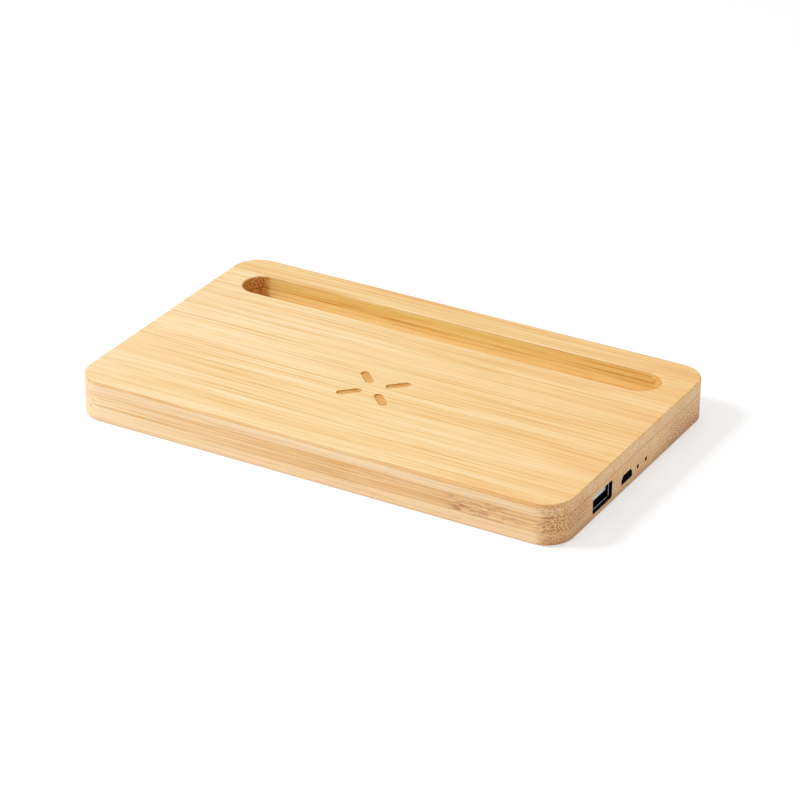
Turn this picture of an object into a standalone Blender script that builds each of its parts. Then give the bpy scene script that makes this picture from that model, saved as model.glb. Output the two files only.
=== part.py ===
"""Wireless charging board: a bamboo block with a phone slot, two sockets and its inner parts.

Metres, +Z up. The origin is on the desk under the middle of the board. +X runs along
the phone slot to the end with the sockets, and +Y runs to the side with the slot.
"""
import math

import bmesh
import bpy
from mathutils import Vector

# Bamboo block, three plies glued into one board, with all its outer edges eased alike
BODY_LENGTH = 0.1800
BODY_WIDTH = 0.1100
BODY_THICKNESS = 0.0146
BODY_CORNER_RADIUS = 0.0100
BODY_EDGE_EASE = 0.0005

# Phone slot, routed from the top, with full round ends
SLOT_END_MARGIN = 0.0100
SLOT_BACK_MARGIN = 0.0112
SLOT_WIDTH = 0.0146
SLOT_DEPTH = 0.0090

# Charging mark, four strokes round the middle of the coil
MARK_INNER_REACH = 0.0041
MARK_OUTER_REACH = 0.0127
MARK_STROKE_WIDTH = 0.0028
MARK_DEPTH = 0.0006
MARK_STROKES = 4

# Clearances between pieces, and how far a cutter runs past what it cuts
SEAT_GAP = 0.0001
CUT_OVERRUN = 0.0010
MILL_RADIUS = 0.0015

# Base cover, a moulded plate let into a rebate in the underside
LIP_WIDTH = 0.0020
COVER_THICKNESS = 0.0012
COVER_SIDE_CLEARANCE = 0.0002
COVER_EDGE_EASE = 0.0002
LABEL_LENGTH = 0.0600
LABEL_WIDTH = 0.0300
LABEL_CORNER_RADIUS = 0.0020
LABEL_DEPTH = 0.0002

# Rubber feet, glued into round recesses in the cover
FOOT_RADIUS = 0.0050
FOOT_THICKNESS = 0.0008
FOOT_EDGE_RADIUS = 0.0003
FOOT_RECESS_DEPTH = 0.0004
FOOT_RECESS_CLEARANCE = 0.0002
FOOT_INSET_X = 0.0180
FOOT_INSET_Y = 0.0170

# Countersunk cover screws, driven up into the bamboo
COVER_SCREW_INSET_X = 0.0100
COVER_SCREW_INSET_Y = 0.0080
COVER_SCREW_LENGTH = 0.0055
COVER_SCREW_HEAD_RADIUS = 0.0021
COVER_SCREW_HEAD_HEIGHT = 0.0011
COVER_SCREW_RIM = 0.0002
COVER_SCREW_CORE_RADIUS = 0.0007
COVER_SCREW_THREAD_RADIUS = 0.0010
COVER_SCREW_TIP = 0.0012
COVER_SCREW_RIDGES = 4
COVER_SCREW_HOLE_CLEARANCE = 0.0001
CROSS_REACH = 0.0013
CROSS_WIDTH = 0.0004
CROSS_DEPTH = 0.0006

# Circuit board, screwed up against a ledge in its bay
BOARD_LENGTH = 0.0534
BOARD_THICKNESS = 0.0010
BOARD_CORNER_RADIUS = 0.0015
BOARD_LIFT = 0.0007
BOARD_CLEARANCE = 0.0003
BOARD_FRONT_MARGIN = 0.0128
BOARD_BACK_MARGIN = 0.0061
BAY_END_WALL = 0.0030
BAY_WEB = 0.0049
LEDGE_WIDTH = 0.0038
LEDGE_LEFT_WIDTH = 0.0050
LEDGE_RIGHT_WIDTH = 0.0008

# Board screws, thin heads under the board
BOARD_SCREW_LENGTH = 0.0050
BOARD_SCREW_HEAD_RADIUS = 0.0014
BOARD_SCREW_HEAD_HEIGHT = 0.0004
BOARD_SCREW_CORE_RADIUS = 0.0005
BOARD_SCREW_THREAD_RADIUS = 0.0007
BOARD_SCREW_TIP = 0.0009
BOARD_SCREW_RIDGES = 3
BOARD_SCREW_INSET_Y = 0.0018
BOARD_SCREW_LEFT_INSET = 0.0107
BOARD_SCREW_RIGHT_INSET = 0.0067
BOARD_CROSS_DEPTH = 0.0002
BOARD_CROSS_REACH = 0.0009
BOARD_CROSS_WIDTH = 0.0003

# Output socket, the wide one, let into a notch of the board
OUTPUT_INSET = 0.0296
OUTPUT_RECESS = 0.0010
OUTPUT_WIDTH = 0.0131
OUTPUT_HEIGHT = 0.0057
OUTPUT_LENGTH = 0.0140
OUTPUT_WALL = 0.0003
OUTPUT_CORNER_RADIUS = 0.0006
OUTPUT_SINK = 0.00065
OUTPUT_OPENING_CLEARANCE = 0.0003
OUTPUT_NOTCH_CLEARANCE = 0.0003
OUTPUT_BLOCK_LENGTH = 0.0038
OUTPUT_BLOCK_INSET = 0.0002
OUTPUT_BLOCK_CLEARANCE = 0.00015
OUTPUT_TONGUE_WIDTH = 0.0111
OUTPUT_TONGUE_THICKNESS = 0.00185
OUTPUT_TONGUE_RISE = 0.0026
OUTPUT_TONGUE_RECESS = 0.0007
OUTPUT_LEG_WIDTH = 0.0012
OUTPUT_LEG_THICKNESS = 0.0003
OUTPUT_LEG_REACH = 0.00135
OUTPUT_LEG_RISE = 0.0009
OUTPUT_LEG_TAIL = 0.0003
OUTPUT_LEG_BACK_INSET = 0.0025
OUTPUT_LEG_PITCH = 0.0070
OUTPUT_LEG_CLEARANCE = 0.0001

# Output contacts, sprung strips in grooves under the tongue
OUTPUT_CONTACT_WIDTH = 0.0010
OUTPUT_CONTACT_THICKNESS = 0.0002
OUTPUT_CONTACT_INNER_OFFSET = 0.0010
OUTPUT_CONTACT_OUTER_OFFSET = 0.0035
OUTPUT_CONTACT_GROOVE = 0.00015
OUTPUT_CONTACT_TIP_INSET = 0.0006
OUTPUT_CONTACT_FOOT = 0.0012
OUTPUT_CONTACT_STANDOFF = 0.0003

# Input socket, the small six-sided one, wide side down
SOCKET_PITCH = 0.0175
INPUT_RECESS = 0.0020
INPUT_WIDTH = 0.0074
INPUT_TOP_WIDTH = 0.0050
INPUT_HEIGHT = 0.00275
INPUT_SIDE_HEIGHT = 0.0013
INPUT_LENGTH = 0.0054
INPUT_WALL = 0.00025
INPUT_OPENING_CLEARANCE = 0.0002
INPUT_BLOCK_LENGTH = 0.0016
INPUT_BLOCK_INSET = 0.0002
INPUT_BLOCK_CLEARANCE = 0.0001
INPUT_TONGUE_WIDTH = 0.0038
INPUT_TONGUE_THICKNESS = 0.0006
INPUT_TONGUE_RISE = 0.0013
INPUT_TONGUE_RECESS = 0.0006
INPUT_TAB_WIDTH = 0.0012
INPUT_TAB_LENGTH = 0.0011
INPUT_TAB_BACK_INSET = 0.0008
INPUT_CONTACTS = 5
INPUT_CONTACT_PITCH = 0.00065
INPUT_CONTACT_WIDTH = 0.0003
INPUT_CONTACT_THICKNESS = 0.00012
INPUT_CONTACT_GROOVE = 0.00012
INPUT_CONTACT_TIP_INSET = 0.0004
INPUT_CONTACT_FOOT = 0.0008
INPUT_CONTACT_STANDOFF = 0.0002

# Two indicator lamps behind pinholes
LED_OFFSET = 0.0080
LED_PITCH = 0.0060
LED_RISE = 0.0014
LED_RADIUS = 0.0009
LED_LENGTH = 0.0030
LED_FLANGE_RADIUS = 0.0012
LED_FLANGE_THICKNESS = 0.0006
LED_FRONT_CLEARANCE = 0.0002
LED_LEAD_RADIUS = 0.0002
LED_LEAD_PITCH = 0.00127
LED_LEAD_RUN = 0.0016
LED_LEAD_BEND = 0.0006
LED_LEAD_TAIL = 0.0004
LED_HOLE_CLEARANCE = 0.00015
PINHOLE_RADIUS = 0.00075

# Transmitter coil with its tape and ferrite shield, under the charging mark
COIL_WEB = 0.0036
COIL_BAY_RADIUS = 0.0250
TAPE_RADIUS = 0.0225
TAPE_THICKNESS = 0.0002
WIRE_RADIUS = 0.00039
COIL_INNER_RADIUS = 0.0100
COIL_PITCH = 0.00122
COIL_FULL_TURNS = 9
COIL_LAST_TURN = 0.625
FERRITE_RADIUS = 0.0235
FERRITE_THICKNESS = 0.0010
FERRITE_SLOT_WIDTH = 0.0018
FERRITE_SLOT_START = 0.0012

# Coil leads, down a channel to two pads on the board
CHANNEL_HALF_WIDTH = 0.0120
CHANNEL_STEP = 0.0002
LEAD_DROP = 0.00125
LEAD_DROP_RUN = 0.0040
LEAD_SHIFT = 0.0008
INNER_LEAD_STRAIGHT = 0.0260
OUTER_LEAD_PULL = 0.0080
LEAD_PULL = 0.0070
LEAD_PAD_INSET = 0.0090
INNER_PAD_OFFSET = 0.0090
OUTER_PAD_OFFSET = 0.0060
LEAST_COIL_GAP = 0.0004

# Parts on the board: width along X, along Y and height
CONTROLLER_SIZE = (0.0070, 0.0070, 0.0009)
POWER_STAGE_SIZE = (0.0050, 0.0050, 0.0008)
OUTPUT_SWITCH_SIZE = (0.0050, 0.0040, 0.0015)
TUNING_CAPACITOR_SIZE = (0.0032, 0.0025, 0.0018)
TUNING_CAPACITOR_PITCH = 0.0040
TUNING_CAPACITORS = 4
POWER_INDUCTOR_SIZE = (0.0070, 0.0070, 0.0035)
POWER_INDUCTOR_EASE = 0.0010
CRYSTAL_SIZE = (0.0050, 0.0032, 0.0010)
SENSE_RESISTOR_SIZE = (0.0016, 0.0032, 0.0006)
CHIP_EASE = 0.0001
CAN_RADIUS = 0.00315
CAN_HEIGHT = 0.0058
CAN_BASE_HEIGHT = 0.0010
CAN_WAIST = 0.0004
CAN_EASE = 0.0003

# Where the parts stand, as shares of the board's length from its left and width from its front
CONTROLLER_SHARE = (0.50, 0.62)
POWER_STAGE_SHARE = (0.33, 0.42)
OUTPUT_SWITCH_SHARE = (0.64, 0.43)
TUNING_CAPACITOR_SHARE = (0.18, 0.18)
POWER_INDUCTOR_SHARE = (0.60, 0.22)
CRYSTAL_SHARE = (0.30, 0.78)
SENSE_RESISTOR_SHARE = (0.72, 0.60)
CAN_SHARES = ((0.55, 0.84), (0.72, 0.84))

# Fineness of round shapes, in steps for each quarter turn or whole turn
CORNER_STEPS = 8
SMALL_CORNER_STEPS = 3
SLOT_END_STEPS = 14
STROKE_END_STEPS = 7
BAY_STEPS = 48
FOOT_STEPS = 32
SCREW_STEPS = 12
PINHOLE_STEPS = 16
LED_STEPS = 16
DOME_STEPS = 4
CAN_STEPS = 20
COIL_STEPS = 24
LEAD_STEPS = 10

# Angles and mesh tolerances
QUARTER_TURN = math.pi / 2
HALF_TURN = math.pi
FULL_TURN = 2 * math.pi
SHARP_ANGLE = math.radians(40)
RIM_ANGLE = math.radians(60)
FLAT_ANGLE = math.radians(0.5)
WELD_DISTANCE = 0.000001
MILLIMETRES = 1000
LYING = (0, 0, 0)
FACING_RIGHT = (QUARTER_TURN, 0, QUARTER_TURN)
FACING_FRONT = (QUARTER_TURN, 0, 0)
TURNED_RIGHT = (0, QUARTER_TURN, 0)

# Heights from the desk up
BODY_BOTTOM = FOOT_THICKNESS - FOOT_RECESS_DEPTH + SEAT_GAP
BODY_TOP = BODY_BOTTOM + BODY_THICKNESS
COVER_TOP = BODY_BOTTOM + COVER_THICKNESS
REBATE_TOP = COVER_TOP + SEAT_GAP
BOARD_BOTTOM = COVER_TOP + BOARD_LIFT
BOARD_TOP = BOARD_BOTTOM + BOARD_THICKNESS
LEDGE_HEIGHT = BOARD_TOP + SEAT_GAP
UNDERCUT = BODY_BOTTOM - CUT_OVERRUN
SLOT_FLOOR = BODY_TOP - SLOT_DEPTH
COIL_CEILING = BODY_TOP - COIL_WEB
TAPE_TOP = COIL_CEILING - SEAT_GAP
TAPE_BOTTOM = TAPE_TOP - TAPE_THICKNESS
COIL_HEIGHT = TAPE_BOTTOM - SEAT_GAP - WIRE_RADIUS
FERRITE_TOP = COIL_HEIGHT - WIRE_RADIUS - SEAT_GAP
FERRITE_BOTTOM = FERRITE_TOP - FERRITE_THICKNESS

# Places across the board
RIGHT_FACE = BODY_LENGTH / 2
FRONT_FACE = -BODY_WIDTH / 2
BACK_FACE = BODY_WIDTH / 2
SLOT_LENGTH = BODY_LENGTH - 2 * SLOT_END_MARGIN
SLOT_Y = BACK_FACE - SLOT_BACK_MARGIN - SLOT_WIDTH / 2
COIL_Y = (FRONT_FACE + SLOT_Y - SLOT_WIDTH / 2) / 2
BAY_RIGHT = RIGHT_FACE - BAY_END_WALL
BOARD_RIGHT = BAY_RIGHT - BOARD_CLEARANCE
BOARD_LEFT = BOARD_RIGHT - BOARD_LENGTH
OUTPUT_Y = FRONT_FACE + OUTPUT_INSET
INPUT_Y = OUTPUT_Y + SOCKET_PITCH
LED_Y = INPUT_Y + LED_OFFSET
BOARD_FRONT = OUTPUT_Y - BOARD_FRONT_MARGIN
BOARD_BACK = LED_Y + LED_PITCH + BOARD_BACK_MARGIN
BOARD_WIDTH = BOARD_BACK - BOARD_FRONT

# Output socket's places
OUTPUT_FRONT = RIGHT_FACE - OUTPUT_RECESS
OUTPUT_BACK = OUTPUT_FRONT - OUTPUT_LENGTH
OUTPUT_BOTTOM = BOARD_TOP - OUTPUT_SINK
OUTPUT_Z = OUTPUT_BOTTOM + OUTPUT_HEIGHT / 2
OUTPUT_TONGUE_BOTTOM = OUTPUT_BOTTOM + OUTPUT_TONGUE_RISE
OUTPUT_TONGUE_FRONT = OUTPUT_FRONT - OUTPUT_TONGUE_RECESS

# Input socket's places
INPUT_FRONT = RIGHT_FACE - INPUT_RECESS
INPUT_BACK = INPUT_FRONT - INPUT_LENGTH
INPUT_BOTTOM = BOARD_TOP + SEAT_GAP
INPUT_TONGUE_BOTTOM = INPUT_BOTTOM + INPUT_TONGUE_RISE
INPUT_TONGUE_FRONT = INPUT_FRONT - INPUT_TONGUE_RECESS

# Lamps' places
LED_Z = BOARD_TOP + LED_RISE
LED_TIP = BAY_RIGHT - LEDGE_RIGHT_WIDTH - LED_FRONT_CLEARANCE
LED_BACK = LED_TIP - LED_LENGTH


def clear_scene():
    """Remove every object that the file opened with."""
    for found in list(bpy.data.objects):
        bpy.data.objects.remove(found)


def finish(name, colour, roughness, metallic=0.0):
    """Material with one colour, roughness and metallic value."""
    material = bpy.data.materials.new(name)
    material.use_nodes = True
    shader = material.node_tree.nodes["Principled BSDF"]
    shader.inputs["Base Color"].default_value = (*colour, 1.0)
    shader.inputs["Roughness"].default_value = roughness
    shader.inputs["Metallic"].default_value = metallic
    return material


clear_scene()
PARTS = bpy.data.collections.new("wireless_charger")
CUTTERS = bpy.data.collections.new("cutters")
bpy.context.scene.collection.children.link(PARTS)
bpy.context.scene.collection.children.link(CUTTERS)

BAMBOO = finish("bamboo", (0.72, 0.48, 0.25), 0.45)
COVER_PLASTIC = finish("cover_plastic", (0.03, 0.03, 0.03), 0.55)
RUBBER = finish("rubber", (0.04, 0.04, 0.04), 0.85)
SCREW_STEEL = finish("screw_steel", (0.55, 0.55, 0.56), 0.30, 1.0)
LAMINATE = finish("board_laminate", (0.01, 0.16, 0.07), 0.40)
SOCKET_STEEL = finish("socket_steel", (0.62, 0.62, 0.63), 0.25, 1.0)
TONGUE_PLASTIC = finish("tongue_plastic", (0.72, 0.76, 0.80), 0.40)
DARK_PLASTIC = finish("dark_plastic", (0.02, 0.02, 0.02), 0.40)
CONTACT_GOLD = finish("contact_gold", (0.83, 0.61, 0.25), 0.25, 1.0)
LED_RESIN = finish("led_resin", (0.35, 0.42, 0.45), 0.15)
TINNED_WIRE = finish("tinned_wire", (0.66, 0.66, 0.65), 0.30, 1.0)
COPPER_WIRE = finish("copper_wire", (0.72, 0.30, 0.14), 0.30, 1.0)
FERRITE = finish("ferrite", (0.05, 0.05, 0.055), 0.60)
TAPE_FILM = finish("tape_film", (0.75, 0.42, 0.10), 0.25)
CHIP_RESIN = finish("chip_resin", (0.02, 0.02, 0.022), 0.50)
CAPACITOR_CERAMIC = finish("capacitor_ceramic", (0.52, 0.38, 0.24), 0.45)
CAN_ALUMINIUM = finish("can_aluminium", (0.75, 0.75, 0.76), 0.30, 1.0)
CRYSTAL_STEEL = finish("crystal_steel", (0.68, 0.68, 0.70), 0.25, 1.0)


def arc(centre_x, centre_y, radius, start, sweep, steps):
    """Points along an arc, both ends included."""
    points = []
    for index in range(steps + 1):
        angle = start + sweep * index / steps
        points.append((centre_x + radius * math.cos(angle), centre_y + radius * math.sin(angle)))
    return points


def rounded_rectangle(length, width, radius, steps=CORNER_STEPS):
    """Closed outline with four round corners, about its centre."""
    reach_x = length / 2 - radius
    reach_y = width / 2 - radius
    corners = ((reach_x, reach_y), (-reach_x, reach_y), (-reach_x, -reach_y), (reach_x, -reach_y))
    points = []
    for quarter, corner in enumerate(corners):
        points += arc(*corner, radius, quarter * QUARTER_TURN, QUARTER_TURN, steps)
    return points


def stadium(length, width, steps):
    """Closed outline with two full round ends, about its centre."""
    radius = width / 2
    reach = length / 2 - radius
    right_end = arc(reach, 0, radius, -QUARTER_TURN, HALF_TURN, steps)
    left_end = arc(-reach, 0, radius, QUARTER_TURN, HALF_TURN, steps)
    return right_end + left_end


def rectangle(left, right, low, high):
    """Closed outline of four corners."""
    return [(left, low), (right, low), (right, high), (left, high)]


def six_sided(grow):
    """Input socket's outline about the middle of its base, grown all round by one clearance."""
    half = INPUT_WIDTH / 2 + grow
    half_top = INPUT_TOP_WIDTH / 2 + grow
    side = INPUT_SIDE_HEIGHT + grow
    top = INPUT_HEIGHT + grow
    return [(-half, -grow), (half, -grow), (half, side), (half_top, top), (-half_top, top), (-half, side)]


def weld(mesh, merge_flat):
    """Close the seams of a mesh and turn its faces outwards; flat faces without holes merge."""
    shape = bmesh.new()
    shape.from_mesh(mesh)
    bmesh.ops.remove_doubles(shape, verts=shape.verts, dist=WELD_DISTANCE)
    if merge_flat:
        bmesh.ops.dissolve_limit(
            shape, angle_limit=FLAT_ANGLE, verts=shape.verts, edges=shape.edges)
    bmesh.ops.recalc_face_normals(shape, faces=shape.faces)
    shape.to_mesh(mesh)
    shape.free()


def baked(name, holder, collection, merge_flat=False):
    """Mesh object with the evaluated shape and the place of a holder, which is removed."""
    bpy.context.view_layer.update()
    evaluated = holder.evaluated_get(bpy.context.evaluated_depsgraph_get())
    mesh = bpy.data.meshes.new_from_object(evaluated)
    mesh.name = name
    matrix = holder.matrix_world.copy()
    bpy.data.objects.remove(holder)
    weld(mesh, merge_flat)
    piece = bpy.data.objects.new(name, mesh)
    piece.matrix_world = matrix
    collection.objects.link(piece)
    return piece


def extruded(name, outline, depth, location, rotation, collection, fill="BOTH"):
    """Solid of a flat outline, or its open wall alone, with its middle at a place."""
    curve = bpy.data.curves.new(name, "CURVE")
    curve.dimensions = "2D"
    curve.fill_mode = fill
    curve.extrude = depth / 2
    spline = curve.splines.new("POLY")
    spline.points.add(len(outline) - 1)
    for point, place in zip(spline.points, outline):
        point.co = (*place, 0, 1)
    spline.use_cyclic_u = True
    holder = bpy.data.objects.new("outline", curve)
    holder.location = location
    holder.rotation_euler = rotation
    collection.objects.link(holder)
    return baked(name, holder, collection, True)


def lying(name, outline, centre, low, high, collection):
    """Solid of an outline in X and Y, from one height to another."""
    location = (*centre, (low + high) / 2)
    return extruded(name, outline, high - low, location, LYING, collection)


def facing_right(name, outline, centre, left, right, collection, fill="BOTH"):
    """Solid of an outline in Y and Z, from one X to another."""
    location = ((left + right) / 2, *centre)
    return extruded(name, outline, right - left, location, FACING_RIGHT, collection, fill)


def facing_front(name, outline, middle_y, width, collection):
    """Solid of an outline in X and Z, as wide along Y as given."""
    return extruded(name, outline, width, (0, middle_y, 0), FACING_FRONT, collection)


def folded_shell(name, outline, centre, left, right, wall):
    """Sheet folded along an outline in Y and Z, open at both ends, with its wall inside."""
    shell = facing_right(name, outline, centre, left, right, PARTS, "NONE")
    sheet = shell.modifiers.new("Sheet", "SOLIDIFY")
    sheet.thickness = wall
    sheet.offset = -1
    sheet.use_even_offset = True
    return shell


def block(name, low, high, collection):
    """Box between its lowest and highest corners."""
    low = Vector(low)
    high = Vector(high)
    shape = bmesh.new()
    bmesh.ops.create_cube(shape, size=1)
    bmesh.ops.scale(shape, vec=high - low, verts=shape.verts)
    mesh = bpy.data.meshes.new(name)
    shape.to_mesh(mesh)
    shape.free()
    piece = bpy.data.objects.new(name, mesh)
    piece.location = (low + high) / 2
    collection.objects.link(piece)
    return piece


def cylinder(name, radius, steps, location, depth, collection, rotation=LYING):
    """Round bar about its own middle."""
    shape = bmesh.new()
    bmesh.ops.create_cone(
        shape, cap_ends=True, segments=steps, radius1=radius, radius2=radius, depth=depth)
    mesh = bpy.data.meshes.new(name)
    shape.to_mesh(mesh)
    shape.free()
    piece = bpy.data.objects.new(name, mesh)
    piece.location = location
    piece.rotation_euler = rotation
    collection.objects.link(piece)
    return piece


def upright_cylinder(name, radius, steps, centre, low, high, collection):
    """Round bar along Z, from one height to another."""
    return cylinder(name, radius, steps, (*centre, (low + high) / 2), high - low, collection)


def turned(name, profile, steps, location, collection, rotation=LYING):
    """Round solid from a profile of radii and heights that runs from its top to its base."""
    mesh = bpy.data.meshes.new(name)
    places = [(radius, 0, height) for radius, height in profile]
    edges = [(index, index + 1) for index in range(len(profile) - 1)]
    mesh.from_pydata(places, edges, [])
    piece = bpy.data.objects.new(name, mesh)
    piece.location = location
    piece.rotation_euler = rotation
    turn = piece.modifiers.new("Turn", "SCREW")
    turn.steps = steps
    turn.render_steps = steps
    turn.use_merge_vertices = True
    turn.merge_threshold = WELD_DISTANCE
    collection.objects.link(piece)
    return piece


def tube(name, points, radius, resolution, collection):
    """Round wire along a list of points."""
    curve = bpy.data.curves.new(name, "CURVE")
    curve.dimensions = "3D"
    curve.bevel_depth = radius
    curve.bevel_resolution = resolution
    curve.use_fill_caps = True
    spline = curve.splines.new("POLY")
    spline.points.add(len(points) - 1)
    for point, place in zip(spline.points, points):
        point.co = (*place, 1)
    piece = bpy.data.objects.new(name, curve)
    collection.objects.link(piece)
    return piece


def combine(target, other, operation):
    """Cut another solid from the target, or join it on."""
    change = target.modifiers.new(operation.title(), "BOOLEAN")
    change.operation = operation
    change.solver = "EXACT"
    change.object = other
    other.hide_render = True
    other.display_type = "WIRE"


def ease_edges(piece, width, segments=1, angle=SHARP_ANGLE):
    """Round the edges that are sharper than an angle."""
    bevel = piece.modifiers.new("Ease", "BEVEL")
    bevel.width = width
    bevel.segments = segments
    bevel.limit_method = "ANGLE"
    bevel.angle_limit = angle


def shade(piece):
    """Smooth shading, kept sharp at real edges."""
    piece.data.shade_smooth()
    piece.data.set_sharp_from_angle(angle=SHARP_ANGLE)


def wear(piece, material):
    """Give a piece its one material."""
    piece.data.materials.clear()
    piece.data.materials.append(material)


# Cutters of the bamboo block

def slot_cutter():
    """Phone slot with full round ends."""
    outline = stadium(SLOT_LENGTH, SLOT_WIDTH, SLOT_END_STEPS)
    top = BODY_TOP + CUT_OVERRUN
    return lying("slot_cutter", outline, (0, SLOT_Y), SLOT_FLOOR, top, CUTTERS)


def mark_cutters():
    """Four rounded strokes that point at the middle of the coil."""
    cutters = []
    length = MARK_OUTER_REACH - MARK_INNER_REACH
    middle = (MARK_OUTER_REACH + MARK_INNER_REACH) / 2
    top = BODY_TOP + CUT_OVERRUN
    low = BODY_TOP - MARK_DEPTH
    for index in range(MARK_STROKES):
        angle = FULL_TURN * (index + 0.5) / MARK_STROKES
        outline = stadium(length, MARK_STROKE_WIDTH, STROKE_END_STEPS)
        place = (middle * math.cos(angle), COIL_Y + middle * math.sin(angle), (low + top) / 2)
        name = f"mark_cutter_{index + 1}"
        cutters.append(extruded(name, outline, top - low, place, (0, 0, angle), CUTTERS))
    return cutters


def bay_cutters():
    """Rebate for the cover, bays for the coil and the board, and the channel between them."""
    rebate = rounded_rectangle(
        BODY_LENGTH - 2 * LIP_WIDTH, BODY_WIDTH - 2 * LIP_WIDTH, BODY_CORNER_RADIUS - LIP_WIDTH)
    rebate_cutter = lying("rebate_cutter", rebate, (0, 0), UNDERCUT, REBATE_TOP, CUTTERS)
    coil_bay = upright_cylinder(
        "coil_bay_cutter", COIL_BAY_RADIUS, BAY_STEPS, (0, COIL_Y), UNDERCUT, COIL_CEILING, CUTTERS)
    lower_left = BOARD_LEFT - BOARD_CLEARANCE
    lower_front = BOARD_FRONT - BOARD_CLEARANCE
    lower_back = BOARD_BACK + BOARD_CLEARANCE
    upper_left = lower_left + LEDGE_LEFT_WIDTH
    upper_right = BAY_RIGHT - LEDGE_RIGHT_WIDTH
    channel_front = COIL_Y - CHANNEL_HALF_WIDTH
    channel_back = COIL_Y + CHANNEL_HALF_WIDTH
    channel = block(
        "channel_cutter", (0, channel_front, UNDERCUT),
        (upper_left + CUT_OVERRUN, channel_back, COIL_CEILING - CHANNEL_STEP), CUTTERS)
    lower = rounded_rectangle(BAY_RIGHT - lower_left, lower_back - lower_front, MILL_RADIUS)
    centre_y = (lower_front + lower_back) / 2
    lower_centre = ((lower_left + BAY_RIGHT) / 2, centre_y)
    lower_bay = lying("lower_bay_cutter", lower, lower_centre, UNDERCUT, LEDGE_HEIGHT, CUTTERS)
    upper_width = lower_back - lower_front - 2 * LEDGE_WIDTH
    upper = rounded_rectangle(upper_right - upper_left, upper_width, MILL_RADIUS)
    upper_centre = ((upper_left + upper_right) / 2, centre_y)
    ceiling = BODY_TOP - BAY_WEB
    upper_bay = lying("upper_bay_cutter", upper, upper_centre, UNDERCUT, ceiling, CUTTERS)
    return [rebate_cutter, coil_bay, channel, lower_bay, upper_bay]


def opening_cutters():
    """Openings in the right end for the sockets, and a pinhole for each lamp."""
    inner = BAY_RIGHT - LEDGE_RIGHT_WIDTH - CUT_OVERRUN
    outer = RIGHT_FACE + CUT_OVERRUN
    grow = 2 * OUTPUT_OPENING_CLEARANCE
    corner = OUTPUT_CORNER_RADIUS + OUTPUT_OPENING_CLEARANCE
    output = rounded_rectangle(
        OUTPUT_WIDTH + grow, OUTPUT_HEIGHT + grow, corner, SMALL_CORNER_STEPS)
    cutters = [
        facing_right("output_cutter", output, (OUTPUT_Y, OUTPUT_Z), inner, outer, CUTTERS)]
    opening = six_sided(INPUT_OPENING_CLEARANCE)
    cutters.append(
        facing_right("input_cutter", opening, (INPUT_Y, INPUT_BOTTOM), inner, outer, CUTTERS))
    for index in range(2):
        place = ((inner + outer) / 2, LED_Y + index * LED_PITCH, LED_Z)
        name = f"pinhole_cutter_{index + 1}"
        cutters.append(
            cylinder(name, PINHOLE_RADIUS, PINHOLE_STEPS, place, outer - inner, CUTTERS, TURNED_RIGHT))
    return cutters


def cover_screw_places():
    """Three screws along the front and three along the back."""
    reach_x = BODY_LENGTH / 2 - COVER_SCREW_INSET_X
    reach_y = BODY_WIDTH / 2 - COVER_SCREW_INSET_Y
    return [(x, y) for y in (-reach_y, reach_y) for x in (-reach_x, 0, reach_x)]


def board_screw_places():
    """One screw near each corner of the circuit board, through its ledge strips."""
    left = BOARD_LEFT + BOARD_SCREW_LEFT_INSET
    right = BOARD_RIGHT - BOARD_SCREW_RIGHT_INSET
    front = BOARD_FRONT + BOARD_SCREW_INSET_Y
    back = BOARD_BACK - BOARD_SCREW_INSET_Y
    return [(x, y) for y in (front, back) for x in (left, right)]


def cover_screw_cutter(name, centre):
    """Countersunk hole through the cover, and the pilot hole above it."""
    head = COVER_SCREW_HEAD_RADIUS + COVER_SCREW_HOLE_CLEARANCE
    hole = COVER_SCREW_THREAD_RADIUS + COVER_SCREW_HOLE_CLEARANCE
    top = COVER_SCREW_LENGTH + COVER_SCREW_HOLE_CLEARANCE
    neck = COVER_SCREW_HEAD_HEIGHT
    profile = [
        (0, top),
        (hole, top),
        (hole, neck),
        (head, COVER_SCREW_RIM),
        (head, -CUT_OVERRUN),
        (0, -CUT_OVERRUN)]
    return turned(name, profile, SCREW_STEPS, (*centre, BODY_BOTTOM), CUTTERS)


def board_screw_cutter(name, centre):
    """Straight hole through the circuit board and up into the ledge."""
    radius = BOARD_SCREW_THREAD_RADIUS + SEAT_GAP
    top = BOARD_BOTTOM - SEAT_GAP - BOARD_SCREW_HEAD_HEIGHT + BOARD_SCREW_LENGTH + SEAT_GAP
    low = BOARD_BOTTOM - CUT_OVERRUN
    return upright_cylinder(name, radius, SCREW_STEPS, centre, low, top, CUTTERS)


# Pieces

def make_body(screw_cutters, pilot_cutters):
    """Bamboo block with the slot, the mark, the bays and the openings cut into it."""
    outline = rounded_rectangle(BODY_LENGTH, BODY_WIDTH, BODY_CORNER_RADIUS)
    body = lying("bamboo_body", outline, (0, 0), BODY_BOTTOM, BODY_TOP, PARTS)
    combine(body, slot_cutter(), "DIFFERENCE")
    ease_edges(body, BODY_EDGE_EASE, 2, RIM_ANGLE)
    cutters = mark_cutters() + bay_cutters() + opening_cutters()
    for cutter in cutters + screw_cutters + pilot_cutters:
        combine(body, cutter, "DIFFERENCE")
    wear(body, BAMBOO)
    shade(body)


def foot_places():
    """One foot near each corner."""
    reach_x = BODY_LENGTH / 2 - FOOT_INSET_X
    reach_y = BODY_WIDTH / 2 - FOOT_INSET_Y
    return [(x, y) for y in (-reach_y, reach_y) for x in (-reach_x, reach_x)]


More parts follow.
